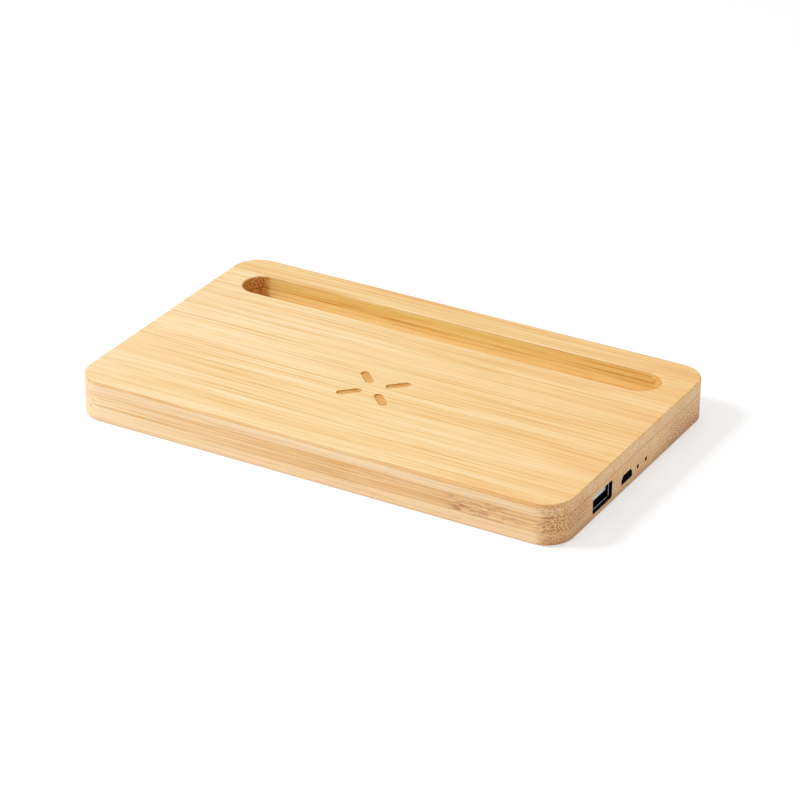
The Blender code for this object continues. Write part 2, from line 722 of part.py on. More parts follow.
def make_cover(screw_cutters):
    """Cover plate with recesses for the feet, countersunk holes and a bare label field."""
    inset = LIP_WIDTH + COVER_SIDE_CLEARANCE
    outline = rounded_rectangle(
        BODY_LENGTH - 2 * inset, BODY_WIDTH - 2 * inset, BODY_CORNER_RADIUS - inset)
    cover = lying("base_cover", outline, (0, 0), BODY_BOTTOM, COVER_TOP, PARTS)
    ease_edges(cover, COVER_EDGE_EASE, 1, RIM_ANGLE)
    recess_radius = FOOT_RADIUS + FOOT_RECESS_CLEARANCE
    recess_top = BODY_BOTTOM + FOOT_RECESS_DEPTH
    for index, centre in enumerate(foot_places()):
        name = f"foot_recess_cutter_{index + 1}"
        recess = upright_cylinder(
            name, recess_radius, FOOT_STEPS, centre, UNDERCUT, recess_top, CUTTERS)
        combine(cover, recess, "DIFFERENCE")
    label = rounded_rectangle(LABEL_LENGTH, LABEL_WIDTH, LABEL_CORNER_RADIUS, SMALL_CORNER_STEPS)
    label_cutter = lying(
        "label_cutter", label, (0, 0), UNDERCUT, BODY_BOTTOM + LABEL_DEPTH, CUTTERS)
    combine(cover, label_cutter, "DIFFERENCE")
    for cutter in screw_cutters:
        combine(cover, cutter, "DIFFERENCE")
    wear(cover, COVER_PLASTIC)
    shade(cover)


def make_feet():
    """Four round rubber feet with a soft lower edge."""
    profile = [(0, FOOT_THICKNESS), (FOOT_RADIUS, FOOT_THICKNESS)]
    profile += arc(
        FOOT_RADIUS - FOOT_EDGE_RADIUS, FOOT_EDGE_RADIUS, FOOT_EDGE_RADIUS, 0, -QUARTER_TURN,
        SMALL_CORNER_STEPS)
    profile.append((0, 0))
    for index, centre in enumerate(foot_places()):
        foot = turned(f"rubber_foot_{index + 1}", profile, FOOT_STEPS, (*centre, 0), PARTS)
        wear(foot, RUBBER)


def thread(length, tip, neck, core, crest, ridges):
    """Profile of a screw's point and ridges, from its tip down to its neck."""
    top = length - tip
    pitch = (top - neck) / ridges
    profile = [(0, length)]
    for index in range(ridges):
        profile.append((core, top - index * pitch))
        profile.append((crest, top - (index + 0.5) * pitch))
    profile.append((core, neck))
    return profile


def cross_cut(screw, reach, width, depth):
    """Cut a cross recess into a screw's head, which faces down at its origin."""
    for name, angle in (("cross_cutter_1", 0), ("cross_cutter_2", QUARTER_TURN)):
        bar = block(name, (-reach, -width / 2, -CUT_OVERRUN), (reach, width / 2, depth), CUTTERS)
        bar.rotation_euler = (0, 0, angle)
        combine(screw, bar, "DIFFERENCE")


def set_screws(kind, master, places, low):
    """Copies of one finished screw, head down, at their places."""
    finished = baked("screw_master", master, PARTS)
    shade(finished)
    mesh = finished.data
    bpy.data.objects.remove(finished)
    for index, centre in enumerate(places):
        screw = bpy.data.objects.new(f"{kind}_{index + 1}", mesh)
        screw.location = (*centre, low)
        PARTS.objects.link(screw)
        wear(screw, SCREW_STEEL)
    for name in ("cross_cutter_1", "cross_cutter_2"):
        bpy.data.objects.remove(bpy.data.objects[name])


def make_cover_screws():
    """Six countersunk screws, heads flush with the underside."""
    profile = thread(
        COVER_SCREW_LENGTH, COVER_SCREW_TIP, COVER_SCREW_HEAD_HEIGHT, COVER_SCREW_CORE_RADIUS,
        COVER_SCREW_THREAD_RADIUS, COVER_SCREW_RIDGES)
    profile.append((COVER_SCREW_HEAD_RADIUS, COVER_SCREW_RIM))
    profile.append((COVER_SCREW_HEAD_RADIUS, 0))
    profile.append((0, 0))
    master = turned("master", profile, SCREW_STEPS, (0, 0, 0), PARTS)
    cross_cut(master, CROSS_REACH, CROSS_WIDTH, CROSS_DEPTH)
    set_screws("cover_screw", master, cover_screw_places(), BODY_BOTTOM)


def make_board_screws():
    """Four screws with thin flat heads under the circuit board."""
    profile = thread(
        BOARD_SCREW_LENGTH, BOARD_SCREW_TIP, BOARD_SCREW_HEAD_HEIGHT, BOARD_SCREW_CORE_RADIUS,
        BOARD_SCREW_THREAD_RADIUS, BOARD_SCREW_RIDGES)
    profile.append((BOARD_SCREW_HEAD_RADIUS, BOARD_SCREW_HEAD_HEIGHT))
    profile.append((BOARD_SCREW_HEAD_RADIUS, 0))
    profile.append((0, 0))
    master = turned("master", profile, SCREW_STEPS, (0, 0, 0), PARTS)
    cross_cut(master, BOARD_CROSS_REACH, BOARD_CROSS_WIDTH, BOARD_CROSS_DEPTH)
    low = BOARD_BOTTOM - SEAT_GAP - BOARD_SCREW_HEAD_HEIGHT
    set_screws("board_screw", master, board_screw_places(), low)


def output_leg_places():
    """Middles of the legs along X."""
    first = OUTPUT_BACK + OUTPUT_LEG_BACK_INSET
    return [first, first + OUTPUT_LEG_PITCH]


def led_lead_places():
    """Lead holes in the board: lamp number, side and place."""
    x = LED_BACK - SEAT_GAP - LED_LEAD_RUN
    places = []
    for lamp in range(2):
        for side, kind in ((-1, "anode"), (1, "cathode")):
            places.append((lamp, kind, x, LED_Y + lamp * LED_PITCH + side * LED_LEAD_PITCH / 2))
    return places


def make_board(pilot_cutters):
    """Circuit board with a notch for the output socket and holes for legs, leads and screws."""
    outline = rounded_rectangle(BOARD_LENGTH, BOARD_WIDTH, BOARD_CORNER_RADIUS, SMALL_CORNER_STEPS)
    centre = ((BOARD_LEFT + BOARD_RIGHT) / 2, (BOARD_FRONT + BOARD_BACK) / 2)
    board = lying("circuit_board", outline, centre, BOARD_BOTTOM, BOARD_TOP, PARTS)
    low = BOARD_BOTTOM - CUT_OVERRUN
    high = BOARD_TOP + CUT_OVERRUN
    half = OUTPUT_WIDTH / 2 + OUTPUT_NOTCH_CLEARANCE
    notch = block(
        "notch_cutter", (OUTPUT_BACK - OUTPUT_NOTCH_CLEARANCE, OUTPUT_Y - half, low),
        (BOARD_RIGHT + CUT_OVERRUN, OUTPUT_Y + half, high), CUTTERS)
    combine(board, notch, "DIFFERENCE")
    reach = OUTPUT_WIDTH / 2 + OUTPUT_LEG_REACH - OUTPUT_LEG_THICKNESS / 2
    half_x = OUTPUT_LEG_WIDTH / 2 + OUTPUT_LEG_CLEARANCE
    half_y = OUTPUT_LEG_THICKNESS / 2 + OUTPUT_LEG_CLEARANCE
    for x in output_leg_places():
        for y in (OUTPUT_Y - reach, OUTPUT_Y + reach):
            leg_slot = block(
                "leg_slot_cutter", (x - half_x, y - half_y, low), (x + half_x, y + half_y, high),
                CUTTERS)
            combine(board, leg_slot, "DIFFERENCE")
    hole_radius = LED_LEAD_RADIUS + LED_HOLE_CLEARANCE
    for lamp, kind, x, y in led_lead_places():
        hole = upright_cylinder(
            "lead_hole_cutter", hole_radius, SCREW_STEPS, (x, y), low, high, CUTTERS)
        combine(board, hole, "DIFFERENCE")
    for cutter in pilot_cutters:
        combine(board, cutter, "DIFFERENCE")
    wear(board, LAMINATE)


def leg_outline(side):
    """Bent leg in Y and Z, from inside the shell's wall out and down through the board."""
    root = side * (OUTPUT_WIDTH / 2 - OUTPUT_WALL / 2)
    inner = side * (OUTPUT_WIDTH / 2 + OUTPUT_LEG_REACH - OUTPUT_LEG_THICKNESS)
    outer = side * (OUTPUT_WIDTH / 2 + OUTPUT_LEG_REACH)
    top = BOARD_TOP + OUTPUT_LEG_RISE
    under = top - OUTPUT_LEG_THICKNESS
    foot = BOARD_BOTTOM - OUTPUT_LEG_TAIL
    return [(root, top), (outer, top), (outer, foot), (inner, foot), (inner, under), (root, under)]


def make_output_shell():
    """Folded steel shell of the output socket, with four legs."""
    outline = rounded_rectangle(
        OUTPUT_WIDTH, OUTPUT_HEIGHT, OUTPUT_CORNER_RADIUS, SMALL_CORNER_STEPS)
    centre = (OUTPUT_Y, OUTPUT_Z)
    shell = folded_shell(
        "output_socket_shell", outline, centre, OUTPUT_BACK, OUTPUT_FRONT, OUTPUT_WALL)
    half = OUTPUT_LEG_WIDTH / 2
    for x in output_leg_places():
        for side in (-1, 1):
            leg = facing_right(
                "leg", leg_outline(side), (OUTPUT_Y, 0), x - half, x + half, CUTTERS)
            combine(shell, leg, "UNION")
    wear(shell, SOCKET_STEEL)
    shade(shell)


def contact_outline(tip, tail, top, thickness, foot):
    """Contact in X and Z: a strip, a tail down behind the block and a foot on the board."""
    under = top - thickness
    floor = BOARD_TOP + SEAT_GAP
    return [
        (tip, top),
        (tail, top),
        (tail, floor + thickness),
        (tail - foot, floor + thickness),
        (tail - foot, floor),
        (tail + thickness, floor),
        (tail + thickness, under),
        (tip, under)]


def make_output_insides():
    """Insulator of the output socket, its tongue and four contacts."""
    back = OUTPUT_BACK + OUTPUT_BLOCK_INSET
    front = back + OUTPUT_BLOCK_LENGTH
    half = OUTPUT_WIDTH / 2 - OUTPUT_WALL - OUTPUT_BLOCK_CLEARANCE
    low = OUTPUT_BOTTOM + OUTPUT_WALL + OUTPUT_BLOCK_CLEARANCE
    high = OUTPUT_BOTTOM + OUTPUT_HEIGHT - OUTPUT_WALL - OUTPUT_BLOCK_CLEARANCE
    insulator = block(
        "output_socket_insulator", (back, OUTPUT_Y - half, low), (front, OUTPUT_Y + half, high),
        PARTS)
    half_tongue = OUTPUT_TONGUE_WIDTH / 2
    tongue_top = OUTPUT_TONGUE_BOTTOM + OUTPUT_TONGUE_THICKNESS
    tongue = block(
        "tongue", ((back + front) / 2, OUTPUT_Y - half_tongue, OUTPUT_TONGUE_BOTTOM),
        (OUTPUT_TONGUE_FRONT, OUTPUT_Y + half_tongue, tongue_top), CUTTERS)
    combine(insulator, tongue, "UNION")
    groove_end = OUTPUT_TONGUE_FRONT - OUTPUT_CONTACT_TIP_INSET
    groove_top = OUTPUT_TONGUE_BOTTOM + OUTPUT_CONTACT_GROOVE
    contact_top = groove_top - SEAT_GAP
    contact_low = contact_top - OUTPUT_CONTACT_THICKNESS
    tail = OUTPUT_BACK - OUTPUT_CONTACT_STANDOFF - OUTPUT_CONTACT_THICKNESS
    outline = contact_outline(
        groove_end - SEAT_GAP, tail, contact_top, OUTPUT_CONTACT_THICKNESS, OUTPUT_CONTACT_FOOT)
    offsets = (
        -OUTPUT_CONTACT_OUTER_OFFSET, -OUTPUT_CONTACT_INNER_OFFSET,
        OUTPUT_CONTACT_INNER_OFFSET, OUTPUT_CONTACT_OUTER_OFFSET)
    for index, offset in enumerate(offsets):
        middle = OUTPUT_Y + offset
        half_channel = OUTPUT_CONTACT_WIDTH / 2 + SEAT_GAP
        channel = block(
            "contact_channel_cutter", (back - CUT_OVERRUN, middle - half_channel, contact_low - SEAT_GAP),
            (groove_end, middle + half_channel, groove_top), CUTTERS)
        combine(insulator, channel, "DIFFERENCE")
        name = f"output_socket_contact_{index + 1}"
        contact = facing_front(name, outline, middle, OUTPUT_CONTACT_WIDTH, PARTS)
        wear(contact, CONTACT_GOLD)
    wear(insulator, TONGUE_PLASTIC)


def make_input_shell():
    """Six-sided steel shell of the input socket, with a solder tab on each side."""
    shell = folded_shell(
        "input_socket_shell", six_sided(0), (INPUT_Y, INPUT_BOTTOM), INPUT_BACK, INPUT_FRONT,
        INPUT_WALL)
    left = INPUT_BACK + INPUT_TAB_BACK_INSET
    for side in (-1, 1):
        root = INPUT_Y + side * (INPUT_WIDTH / 2 - INPUT_WALL / 2)
        tip = INPUT_Y + side * (INPUT_WIDTH / 2 + INPUT_TAB_LENGTH)
        tab = block(
            "tab", (left, min(root, tip), INPUT_BOTTOM),
            (left + INPUT_TAB_WIDTH, max(root, tip), INPUT_BOTTOM + INPUT_WALL), CUTTERS)
        combine(shell, tab, "UNION")
    wear(shell, SOCKET_STEEL)


def make_input_insides():
    """Insulator of the input socket, its tongue and five contacts."""
    back = INPUT_BACK + INPUT_BLOCK_INSET
    front = back + INPUT_BLOCK_LENGTH
    outline = six_sided(-INPUT_WALL - INPUT_BLOCK_CLEARANCE)
    insulator = facing_right(
        "input_socket_insulator", outline, (INPUT_Y, INPUT_BOTTOM), back, front, PARTS)
    half_tongue = INPUT_TONGUE_WIDTH / 2
    tongue_top = INPUT_TONGUE_BOTTOM + INPUT_TONGUE_THICKNESS
    tongue = block(
        "tongue", ((back + front) / 2, INPUT_Y - half_tongue, INPUT_TONGUE_BOTTOM),
        (INPUT_TONGUE_FRONT, INPUT_Y + half_tongue, tongue_top), CUTTERS)
    combine(insulator, tongue, "UNION")
    groove_end = INPUT_TONGUE_FRONT - INPUT_CONTACT_TIP_INSET
    groove_top = INPUT_TONGUE_BOTTOM + INPUT_CONTACT_GROOVE
    contact_top = groove_top - SEAT_GAP
    contact_low = contact_top - INPUT_CONTACT_THICKNESS
    tail = INPUT_BACK - INPUT_CONTACT_STANDOFF - INPUT_CONTACT_THICKNESS
    profile = contact_outline(
        groove_end - SEAT_GAP, tail, contact_top, INPUT_CONTACT_THICKNESS, INPUT_CONTACT_FOOT)
    for index in range(INPUT_CONTACTS):
        middle = INPUT_Y + (index - (INPUT_CONTACTS - 1) / 2) * INPUT_CONTACT_PITCH
        half_channel = INPUT_CONTACT_WIDTH / 2 + SEAT_GAP
        channel = block(
            "contact_channel_cutter", (back - CUT_OVERRUN, middle - half_channel, contact_low - SEAT_GAP),
            (groove_end, middle + half_channel, groove_top), CUTTERS)
        combine(insulator, channel, "DIFFERENCE")
        name = f"input_socket_contact_{index + 1}"
        contact = facing_front(name, profile, middle, INPUT_CONTACT_WIDTH, PARTS)
        wear(contact, CONTACT_GOLD)
    wear(insulator, DARK_PLASTIC)


def make_lamps():
    """Two lamps that look out through the pinholes, with their leads bent down to the board."""
    dome_base = LED_LENGTH - LED_RADIUS
    profile = arc(0, dome_base, LED_RADIUS, QUARTER_TURN, -QUARTER_TURN, DOME_STEPS)
    profile[0] = (0, LED_LENGTH)
    profile += [
        (LED_RADIUS, LED_FLANGE_THICKNESS),
        (LED_FLANGE_RADIUS, LED_FLANGE_THICKNESS),
        (LED_FLANGE_RADIUS, 0),
        (0, 0)]
    for lamp in range(2):
        place = (LED_BACK, LED_Y + lamp * LED_PITCH, LED_Z)
        lens = turned(f"led_{lamp + 1}_lens", profile, LED_STEPS, place, PARTS, TURNED_RIGHT)
        wear(lens, LED_RESIN)
    start = LED_BACK - SEAT_GAP
    low = BOARD_BOTTOM - LED_LEAD_TAIL
    for lamp, kind, x, y in led_lead_places():
        points = [(start, y, LED_Z)]
        for along, down in arc(
                x + LED_LEAD_BEND, LED_Z - LED_LEAD_BEND, LED_LEAD_BEND, QUARTER_TURN, QUARTER_TURN,
                SMALL_CORNER_STEPS):
            points.append((along, y, down))
        points.append((x, y, low))
        lead = tube(f"led_{lamp + 1}_{kind}", points, LED_LEAD_RADIUS, 1, PARTS)
        wear(lead, TINNED_WIRE)


def smooth_step(share):
    """Share that starts and ends level."""
    return share * share * (3 - 2 * share)


def bezier(start, start_pull, end_pull, end, steps):
    """Points of a smooth bend after its start, its end included."""
    points = []
    for index in range(1, steps + 1):
        share = index / steps
        rest = 1 - share
        points.append(
            rest ** 3 * start + 3 * rest * rest * share * start_pull
            + 3 * rest * share * share * end_pull + share ** 3 * end)
    return points


def inner_lead():
    """From the board's pad back to the start of the winding, under the turns."""
    points = []
    for index in range(LEAD_STEPS):
        share = (index + 1) / LEAD_STEPS
        level = smooth_step(share)
        y = COIL_Y - COIL_INNER_RADIUS + LEAD_SHIFT * level
        points.append(Vector((LEAD_DROP_RUN * share, y, COIL_HEIGHT - LEAD_DROP * level)))
    straight = Vector((INNER_LEAD_STRAIGHT, points[-1].y, points[-1].z))
    for index in range(1, LEAD_STEPS + 1):
        points.append(points[LEAD_STEPS - 1].lerp(straight, index / LEAD_STEPS))
    pad = Vector((
        BOARD_LEFT + LEAD_PAD_INSET, COIL_Y - INNER_PAD_OFFSET, BOARD_TOP + SEAT_GAP + WIRE_RADIUS))
    pull = Vector((LEAD_PULL, 0, 0))
    points += bezier(straight, straight + pull, pad - pull, pad, LEAD_STEPS)
    points.reverse()
    return points


def winding():
    """Flat spiral that winds outwards, clockwise seen from above."""
    steps = int(COIL_STEPS * (COIL_FULL_TURNS + COIL_LAST_TURN))
    points = []
    for index in range(steps + 1):
        turns = index / COIL_STEPS
        radius = COIL_INNER_RADIUS + COIL_PITCH * turns
        angle = -QUARTER_TURN - FULL_TURN * turns
        points.append(
            Vector((radius * math.cos(angle), COIL_Y + radius * math.sin(angle), COIL_HEIGHT)))
    return points


def outer_lead(start, before):
    """From the last turn out through the channel and down to the board's other pad."""
    heading = (start - before).normalized()
    pad = Vector((
        BOARD_LEFT + LEAD_PAD_INSET, COIL_Y + OUTER_PAD_OFFSET, BOARD_TOP + SEAT_GAP + WIRE_RADIUS))
    mouth = Vector((INNER_LEAD_STRAIGHT, COIL_Y + OUTER_PAD_OFFSET, COIL_HEIGHT - LEAD_DROP))
    pull = Vector((LEAD_PULL, 0, 0))
    level_pull = mouth - pull / 2
    level_pull.z = COIL_HEIGHT
    points = bezier(start, start + heading * OUTER_LEAD_PULL, level_pull, mouth, LEAD_STEPS)
    slope = (mouth - level_pull).normalized() * LEAD_PULL
    points += bezier(mouth, mouth + slope, pad - pull, pad, LEAD_STEPS)
    return points


def least_gap(points):
    """Smallest gap between parts of the wire that aren't next to each other along it."""
    lengths = [0.0]
    for before, after in zip(points, points[1:]):
        lengths.append(lengths[-1] + (after - before).length)
    apart = FULL_TURN * WIRE_RADIUS
    least = math.inf
    for first in range(len(points)):
        for second in range(first + 1, len(points)):
            if lengths[second] - lengths[first] > apart:
                least = min(least, (points[first] - points[second]).length)
    return least - 2 * WIRE_RADIUS


def make_coil():
    """Enamelled copper winding, its two leads, the film over it and the ferrite under it."""
    turns = winding()
    points = inner_lead() + turns
    points += outer_lead(turns[-1], turns[-2])
    gap = least_gap(points)
    print("least gap in the coil, mm:", round(gap * MILLIMETRES, 3))
    print("above the floor:", gap > LEAST_COIL_GAP)
    coil = tube("transmitter_coil", points, WIRE_RADIUS, 1, PARTS)
    wear(coil, COPPER_WIRE)
    centre = (0, COIL_Y)
    tape = upright_cylinder(
        "coil_tape", TAPE_RADIUS, BAY_STEPS, centre, TAPE_BOTTOM, TAPE_TOP, PARTS)
    wear(tape, TAPE_FILM)
    shield = upright_cylinder(
        "ferrite_shield", FERRITE_RADIUS, BAY_STEPS, centre, FERRITE_BOTTOM, FERRITE_TOP, PARTS)
    middle = COIL_Y - COIL_INNER_RADIUS + LEAD_SHIFT / 2
    lead_slot = block(
        "lead_slot_cutter",
        (-FERRITE_SLOT_START, middle - FERRITE_SLOT_WIDTH / 2, FERRITE_BOTTOM - CUT_OVERRUN),
        (FERRITE_RADIUS + CUT_OVERRUN, middle + FERRITE_SLOT_WIDTH / 2, FERRITE_TOP + CUT_OVERRUN),
        CUTTERS)
    combine(shield, lead_slot, "DIFFERENCE")
    wear(shield, FERRITE)


def board_place(share):
    """Place on the board from shares of its length and width."""
    return (BOARD_LEFT + share[0] * BOARD_LENGTH, BOARD_FRONT + share[1] * BOARD_WIDTH)


def box_part(name, size, centre, ease, material):
    """Eased box that stands on the board."""
    half_x = size[0] / 2
    half_y = size[1] / 2
    low = BOARD_TOP + SEAT_GAP
    part = block(
        name, (centre[0] - half_x, centre[1] - half_y, low),
        (centre[0] + half_x, centre[1] + half_y, low + size[2]), PARTS)
    ease_edges(part, ease)
    wear(part, material)


def make_board_parts():
    """Chips, capacitors, inductor and crystal on top of the circuit board."""
    box_part("controller_chip", CONTROLLER_SIZE, board_place(CONTROLLER_SHARE), CHIP_EASE, CHIP_RESIN)
    box_part(
        "power_stage_chip", POWER_STAGE_SIZE, board_place(POWER_STAGE_SHARE), CHIP_EASE, CHIP_RESIN)
    box_part(
        "output_switch_chip", OUTPUT_SWITCH_SIZE, board_place(OUTPUT_SWITCH_SHARE), CHIP_EASE,
        CHIP_RESIN)
    box_part(
        "power_inductor", POWER_INDUCTOR_SIZE, board_place(POWER_INDUCTOR_SHARE),
        POWER_INDUCTOR_EASE, FERRITE)
    box_part("crystal", CRYSTAL_SIZE, board_place(CRYSTAL_SHARE), CHIP_EASE, CRYSTAL_STEEL)
    box_part(
        "sense_resistor", SENSE_RESISTOR_SIZE, board_place(SENSE_RESISTOR_SHARE), CHIP_EASE,
        CHIP_RESIN)
    x, y = board_place(TUNING_CAPACITOR_SHARE)
    for index in range(TUNING_CAPACITORS):
        centre = (x + index * TUNING_CAPACITOR_PITCH, y)
        name = f"tuning_capacitor_{index + 1}"
        box_part(name, TUNING_CAPACITOR_SIZE, centre, CHIP_EASE, CAPACITOR_CERAMIC)
    profile = [
        (0, CAN_HEIGHT),
        (CAN_RADIUS - CAN_EASE, CAN_HEIGHT),
        (CAN_RADIUS, CAN_HEIGHT - CAN_EASE),
        (CAN_RADIUS, CAN_BASE_HEIGHT + 2 * CAN_WAIST),
        (CAN_RADIUS - CAN_WAIST, CAN_BASE_HEIGHT + CAN_WAIST),
        (CAN_RADIUS, CAN_BASE_HEIGHT),
        (CAN_RADIUS, 0),
        (0, 0)]
    for index, share in enumerate(CAN_SHARES):
        place = (*board_place(share), BOARD_TOP + SEAT_GAP)
        can = turned(f"bulk_capacitor_{index + 1}", profile, CAN_STEPS, place, PARTS)
        wear(can, CAN_ALUMINIUM)


def build():
    """Make every piece and parent it to one empty on the desk."""
    screw_cutters = []
    for index, centre in enumerate(cover_screw_places()):
        screw_cutters.append(cover_screw_cutter(f"cover_screw_cutter_{index + 1}", centre))
    pilot_cutters = []
    for index, centre in enumerate(board_screw_places()):
        pilot_cutters.append(board_screw_cutter(f"board_screw_cutter_{index + 1}", centre))
    make_body(screw_cutters, pilot_cutters)
    make_cover(screw_cutters)
    make_feet()
    make_cover_screws()
    make_board(pilot_cutters)
    make_board_screws()
    make_output_shell()
    make_output_insides()
    make_input_shell()
    make_input_insides()
    make_lamps()
    make_coil()
    make_board_parts()
    root = bpy.data.objects.new("desk_origin", None)
    PARTS.objects.link(root)
    for piece in PARTS.objects:
        if piece.type != "EMPTY":
            piece.parent = root
    print("pieces:", len(PARTS.objects) - 1)


build()
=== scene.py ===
# %% [markdown]
# # A bamboo charging board, dressed for the camera
#
# The imported model already holds every solid of the charger: the bamboo block, the cover under
# it, the sockets, the coil and the circuit board. This script loads those solids as a fixed
# frame, models finer pieces over the ones that a buyer sees, and gives every piece its finish.
# The size of the solids is kept.

# %% Load the solids
import functools
import math

import bmesh
import bpy
from mathutils import Matrix, Vector


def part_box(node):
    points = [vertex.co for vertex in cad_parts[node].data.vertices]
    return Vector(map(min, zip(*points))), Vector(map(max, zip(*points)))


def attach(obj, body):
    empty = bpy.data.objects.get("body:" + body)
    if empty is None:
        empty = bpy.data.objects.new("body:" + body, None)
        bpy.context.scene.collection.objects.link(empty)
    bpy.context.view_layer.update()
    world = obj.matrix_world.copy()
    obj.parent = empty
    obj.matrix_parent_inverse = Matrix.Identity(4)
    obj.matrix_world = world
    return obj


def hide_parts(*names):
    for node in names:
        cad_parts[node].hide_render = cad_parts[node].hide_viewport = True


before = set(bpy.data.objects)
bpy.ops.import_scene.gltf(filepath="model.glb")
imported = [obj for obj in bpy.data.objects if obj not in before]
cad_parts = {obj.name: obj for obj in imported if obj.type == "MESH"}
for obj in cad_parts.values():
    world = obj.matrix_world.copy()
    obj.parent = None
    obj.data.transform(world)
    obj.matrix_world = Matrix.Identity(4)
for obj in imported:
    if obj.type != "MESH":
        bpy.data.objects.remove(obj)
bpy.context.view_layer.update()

print("solids loaded:", len(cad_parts))

# %% [markdown]
# ## The camera
#
# The board was photographed with a long lens from its front right, a little above the desk.
# A camera can be aimed by hand, or solved from the straight edges of the object. It was solved
# here, because the edges of a board show its perspective well: the azimuth, the elevation, the
# roll and the distance below put all the edges of the board where the photograph has them.

# %% Aim the camera
CAMERA_AZIMUTH = math.radians(29.1672)
CAMERA_ELEVATION = math.radians(27.2504)
CAMERA_ROLL = math.radians(0.6573)
CAMERA_PLACE = Vector((0.473507, -0.843579, 0.503365))
CAMERA_LENS = 147.64
SENSOR_WIDTH = 36

level = math.cos(CAMERA_ELEVATION)
backward = Vector((
    math.sin(CAMERA_AZIMUTH) * level,
    -math.cos(CAMERA_AZIMUTH) * level,
    math.sin(CAMERA_ELEVATION)))
level_right = Vector((0, 0, 1)).cross(backward).normalized()
level_up = backward.cross(level_right)
right = level_right * math.cos(CAMERA_ROLL) + level_up * math.sin(CAMERA_ROLL)
upward = level_up * math.cos(CAMERA_ROLL) - level_right * math.sin(CAMERA_ROLL)
turn = Matrix((right, upward, backward)).transposed().to_4x4()

bpy.ops.object.select_all(action="DESELECT")
bpy.ops.object.camera_add()
camera = bpy.context.object
camera.name = "camera"
camera.matrix_world = Matrix.Translation(CAMERA_PLACE) @ turn
camera.data.lens = CAMERA_LENS
camera.data.sensor_width = SENSOR_WIDTH
camera.data.clip_start = 0.05
camera.data.clip_end = 20
bpy.context.scene.camera = camera
print("camera is", round(CAMERA_PLACE.length, 3), "m from the board's middle")

# %% [markdown]
# ## Colours and shader nodes
#
# Colours are easiest to read as the hex codes of a picture, but shaders count in linear light,
# so one function turns a code into linear values. Another fills a node's inputs: a hex code
# becomes a colour, a socket or the first output of a node becomes a link, and masks in brackets
# are multiplied. A list fills the inputs in their order: a Mix takes a share and the colours
# below and above, a Map Range a value, where it starts and ends, and what those become, and a
# noise its place, scale, detail and roughness.

# %% Helpers for finishes
MM = 0.001

# Settings of a product, of a colour laid over another or multiplied into it, and of a soft step
TIMES = {"operation": "MULTIPLY"}
OVER = {"data_type": "RGBA"}
TINT = {"data_type": "RGBA", "blend_type": "MULTIPLY"}
SOFT = {"interpolation_type": "SMOOTHSTEP"}


def linear(code):
    """Linear red, green, blue and alpha of an sRGB hex code."""
    values = []
    for first in (0, 2, 4):
        value = int(code[first:first + 2], 16) / 255
        if value <= 0.04045:
            values.append(value / 12.92)
        else:
            values.append(((value + 0.055) / 1.055) ** 2.4)
    return (*values, 1.0)


def plug(material, node, inputs):
    """Fill a node's inputs, by name in a dictionary or by order in a list."""
    if isinstance(inputs, list):
        shown = [number for number, socket in enumerate(node.inputs) if socket.enabled]
        inputs = dict(zip(shown, inputs))
    for name, value in inputs.items():
        if isinstance(value, tuple) and not isinstance(value[0], (int, float)):
            value, *masks = value
            for mask in masks:
                value = add(material, "Math", [value, mask], **TIMES)
        if isinstance(value, bpy.types.Node):
            value = next(socket for socket in value.outputs if socket.enabled)
        if isinstance(value, bpy.types.NodeSocket):
            material.node_tree.links.new(value, node.inputs[name])
        else:
            node.inputs[name].default_value = linear(value) if isinstance(value, str) else value


def add(material, kind, inputs=None, stops=None, **settings):
    """Add a shader node with its settings, its inputs, and a ramp's stops as codes or greys."""
    made = material.node_tree.nodes.new("ShaderNode" + kind)
    for name, value in settings.items():
        setattr(made, name, value)
    plug(material, made, inputs or {})
    for number, (position, value) in enumerate((stops or {}).items()):
        elements = made.color_ramp.elements
        if number == 0:
            elements.remove(elements[1])
            elements[0].position = position
        stop = elements[0] if number == 0 else elements.new(position)
        stop.color = linear(value) if isinstance(value, str) else (value, value, value, 1.0)
    return made


def start(name):
    """New material with its main shader, and its place in millimetres."""
    material = bpy.data.materials.new(name)
    material.use_nodes = True
    material.node_tree.nodes.clear()
    add(material, "OutputMaterial", {"Surface": add(material, "BsdfPrincipled")})
    place = add(material, "TexCoord").outputs["Object"]
    return material, add(material, "VectorMath", [place, 1000], operation="SCALE")


def shade(material, inputs):
    """Fill inputs of a material's main shader."""
    plug(material, material.node_tree.nodes["Principled BSDF"], inputs)


def surface(material, colour, roughness, height, strength, relief):
    """Give a finish its colour, its dullness, and a relief in millimetres over a height."""
    bump = add(material, "Bump", {"Height": height, "Strength": strength, "Distance": relief * MM})
    shade(material, {"Base Color": colour, "Roughness": roughness, "Normal": bump})


def stretched(material, place, grains, detail, roughness=0.5):
    """Noise with a number of grains to the millimetre along each axis."""
    grain_place = add(material, "VectorMath", [place, grains], **TIMES)
    return add(material, "TexNoise", [grain_place, 1, detail, roughness])


print("helpers ready; F8D7A2 is", [round(value, 3) for value in linear("F8D7A2")])

# %% [markdown]
# ## Laminated bamboo: where the grain runs
#
# The block is sawn from three plies of bamboo strips, glued under pressure, sanded and waxed.
# Bamboo has no growth rings. It has bundles of dark fibre in a pale ground, all along the
# culm. A face cut along them shows lines, and an end shows dots. A picture would have to be
# drawn twice to give both, so the pattern here fills the space instead: it is stretched along
# X, and each face cuts it as a saw would. The short call wood adds one node to the bamboo.

# %% Bamboo: grain in space
SWAY = (0, 2.4, 0.6)

